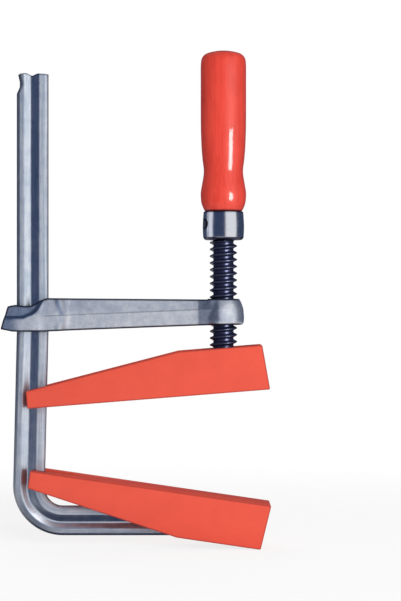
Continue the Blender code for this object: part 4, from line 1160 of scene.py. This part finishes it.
def set_world(level):
    world = bpy.data.worlds.new("studio")
    bpy.context.scene.world = world
    world.use_nodes = True
    nodes = Nodes(world.node_tree)
    plain = nodes.add("Background", {}, {"Color": (1, 1, 1), "Strength": level})
    white = nodes.add("Background", {}, {"Color": (1, 1, 1), "Strength": 1.0})
    seen = seen_directly(nodes)
    mixed = nodes.add("MixShader", {}, {0: seen, 1: plain, 2: white})
    nodes.add("OutputWorld", {}, {"Surface": mixed})


def add_floor(level):
    """A round pale sheet under the clamp that fades out with the distance from its middle."""
    mesh = turned("floor", [(0, 0), (0.2, 0), (0.7, 0)], 64, place=(-0.05, 0, level))
    floor = new_object("floor", mesh)
    nodes = Finish("pale_floor")
    away = nodes.mapped(nodes.places(), (0.05, 0, -level))
    reach = nodes.add("VectorMath", {"operation": "LENGTH"}, {0: away}, "Value")
    fade = nodes.step(reach, 0.20, 0.60)
    grain = nodes.noise(60, 3, 0.5)
    pale = nodes.blend(grain, (0.93, 0.93, 0.93), (0.96, 0.96, 0.96))
    matt = nodes.add("BsdfDiffuse", {}, {"Color": pale, "Roughness": 0.5})
    glow = nodes.add("Emission", {}, {"Color": (1, 1, 1), "Strength": 1.0})
    share = seen_directly(nodes) * 0.8
    lit = nodes.add("MixShader", {}, {0: share, 1: matt, 2: glow})
    clear = nodes.add("BsdfTransparent")
    mixed = nodes.add("MixShader", {}, {0: fade, 1: lit, 2: clear})
    mesh.materials.append(nodes.finished(mixed))


def add_camera():
    """The photograph's view: level and square to the clamp. The frame's height is what shows from
    top to bottom where the clamp stands."""
    data = bpy.data.cameras.new("camera")
    data.sensor_width = SENSOR
    data.lens = SENSOR * CAMERA_DISTANCE / FRAME_HEIGHT
    data.clip_start, data.clip_end = 0.05, 50
    camera = new_object("camera", data)
    camera.location = (-0.01342, -CAMERA_DISTANCE, 0.1148)
    camera.rotation_euler = (math.pi / 2, 0, 0)
    bpy.context.scene.camera = camera


def make_clamp():
    pins, machined = pin_steel(), machined_steel()
    make_rail(drawn_steel())
    make_sliding_arm(forged_steel())
    make_spindle(blackened_steel())
    make_ferrule(polished_steel(), pins)
    make_handle(red_lacquer())
    make_straight_pins(pins)
    make_washers(washer_steel())
    upper = jaw_paint("upper_jaw_paint", UPPER_PIVOT, (0, -UPPER_TILT, 0))
    lower = jaw_paint("lower_jaw_paint", LOWER_PIVOT, (math.pi, LOWER_TILT, 0))
    solid_copy("upper_jaw_casting", "upper_jaw", upper, "upper_jaw")
    solid_copy("lower_jaw_casting", "lower_jaw", lower, "lower_jaw")
    solid_copy("upper_block", "upper_swivel_block", machined, "foot")
    solid_copy("lower_block", "lower_swivel_block", machined, "rail")


def make_studio():
    """Soft light from the right of the camera, a fill from behind, and windows for the highlights
    on lacquer, thread, ferrule, arm and rail. Mirrored rays see white between dark cards to the
    right of the camera, a grey card overhead and dark mats under and beside the clamp."""
    dark, dusk, grey = (0.04, 0.06, 0.13), (0.05, 0.07, 0.13), (0.34, 0.36, 0.40)
    set_world(0.32)
    add_lamp("key", STUDIO_MIDDLE, 1.4, 18, 8, (0.8, 0.8), 15.5)
    add_lamp("fill", STUDIO_MIDDLE, 1.6, 205, 25, (1.0, 1.0), 12)
    add_window("turned_handle", (0, 0, 0.19), 39, -5, (0.30, 0.26), 45)
    add_window("screw_spindle", (0, 0, 0.12), 38, 0, (0.36, 0.50), 18)
    add_window("ferrule_tube", (0, 0, 0.16), -84, 0, (0.6, 0.6), 0.9)
    add_window("forged_arm", (0, 0, 0.11), -5, 12, (0.42, 0.60), 0.9)
    add_window("rail_bar", (-0.11, 0, 0.03), 0, 0, (0.30, 0.7), 0.6)
    add_window("rail_bar", (-0.1, 0, -0.015), 47, 42, (1.3, 1.3), 2.4, 2.5, shaded=False)
    add_card("front_card", (-109, 12), (-35, 42), dark)
    add_card("back_card", (78, 251), (-35, 42), dusk)
    add_card("roof_card", (0, 360), (42, 88), grey)
    floor_level = CAD_BOX[0].z - 0.0004
    mat_level = floor_level + 0.0002
    add_mat("long_mat", (-0.15, 0.015), (-0.034, 0.034), mat_level, (0.02, 0.03, 0.07))
    add_mat("side_mat", (-0.32, -0.135), (-0.18, -0.036), mat_level, (0.04, 0.06, 0.12))
    add_floor(floor_level)
    add_camera()
    bpy.context.scene.view_settings.view_transform = "Standard"


make_clamp()
make_studio()
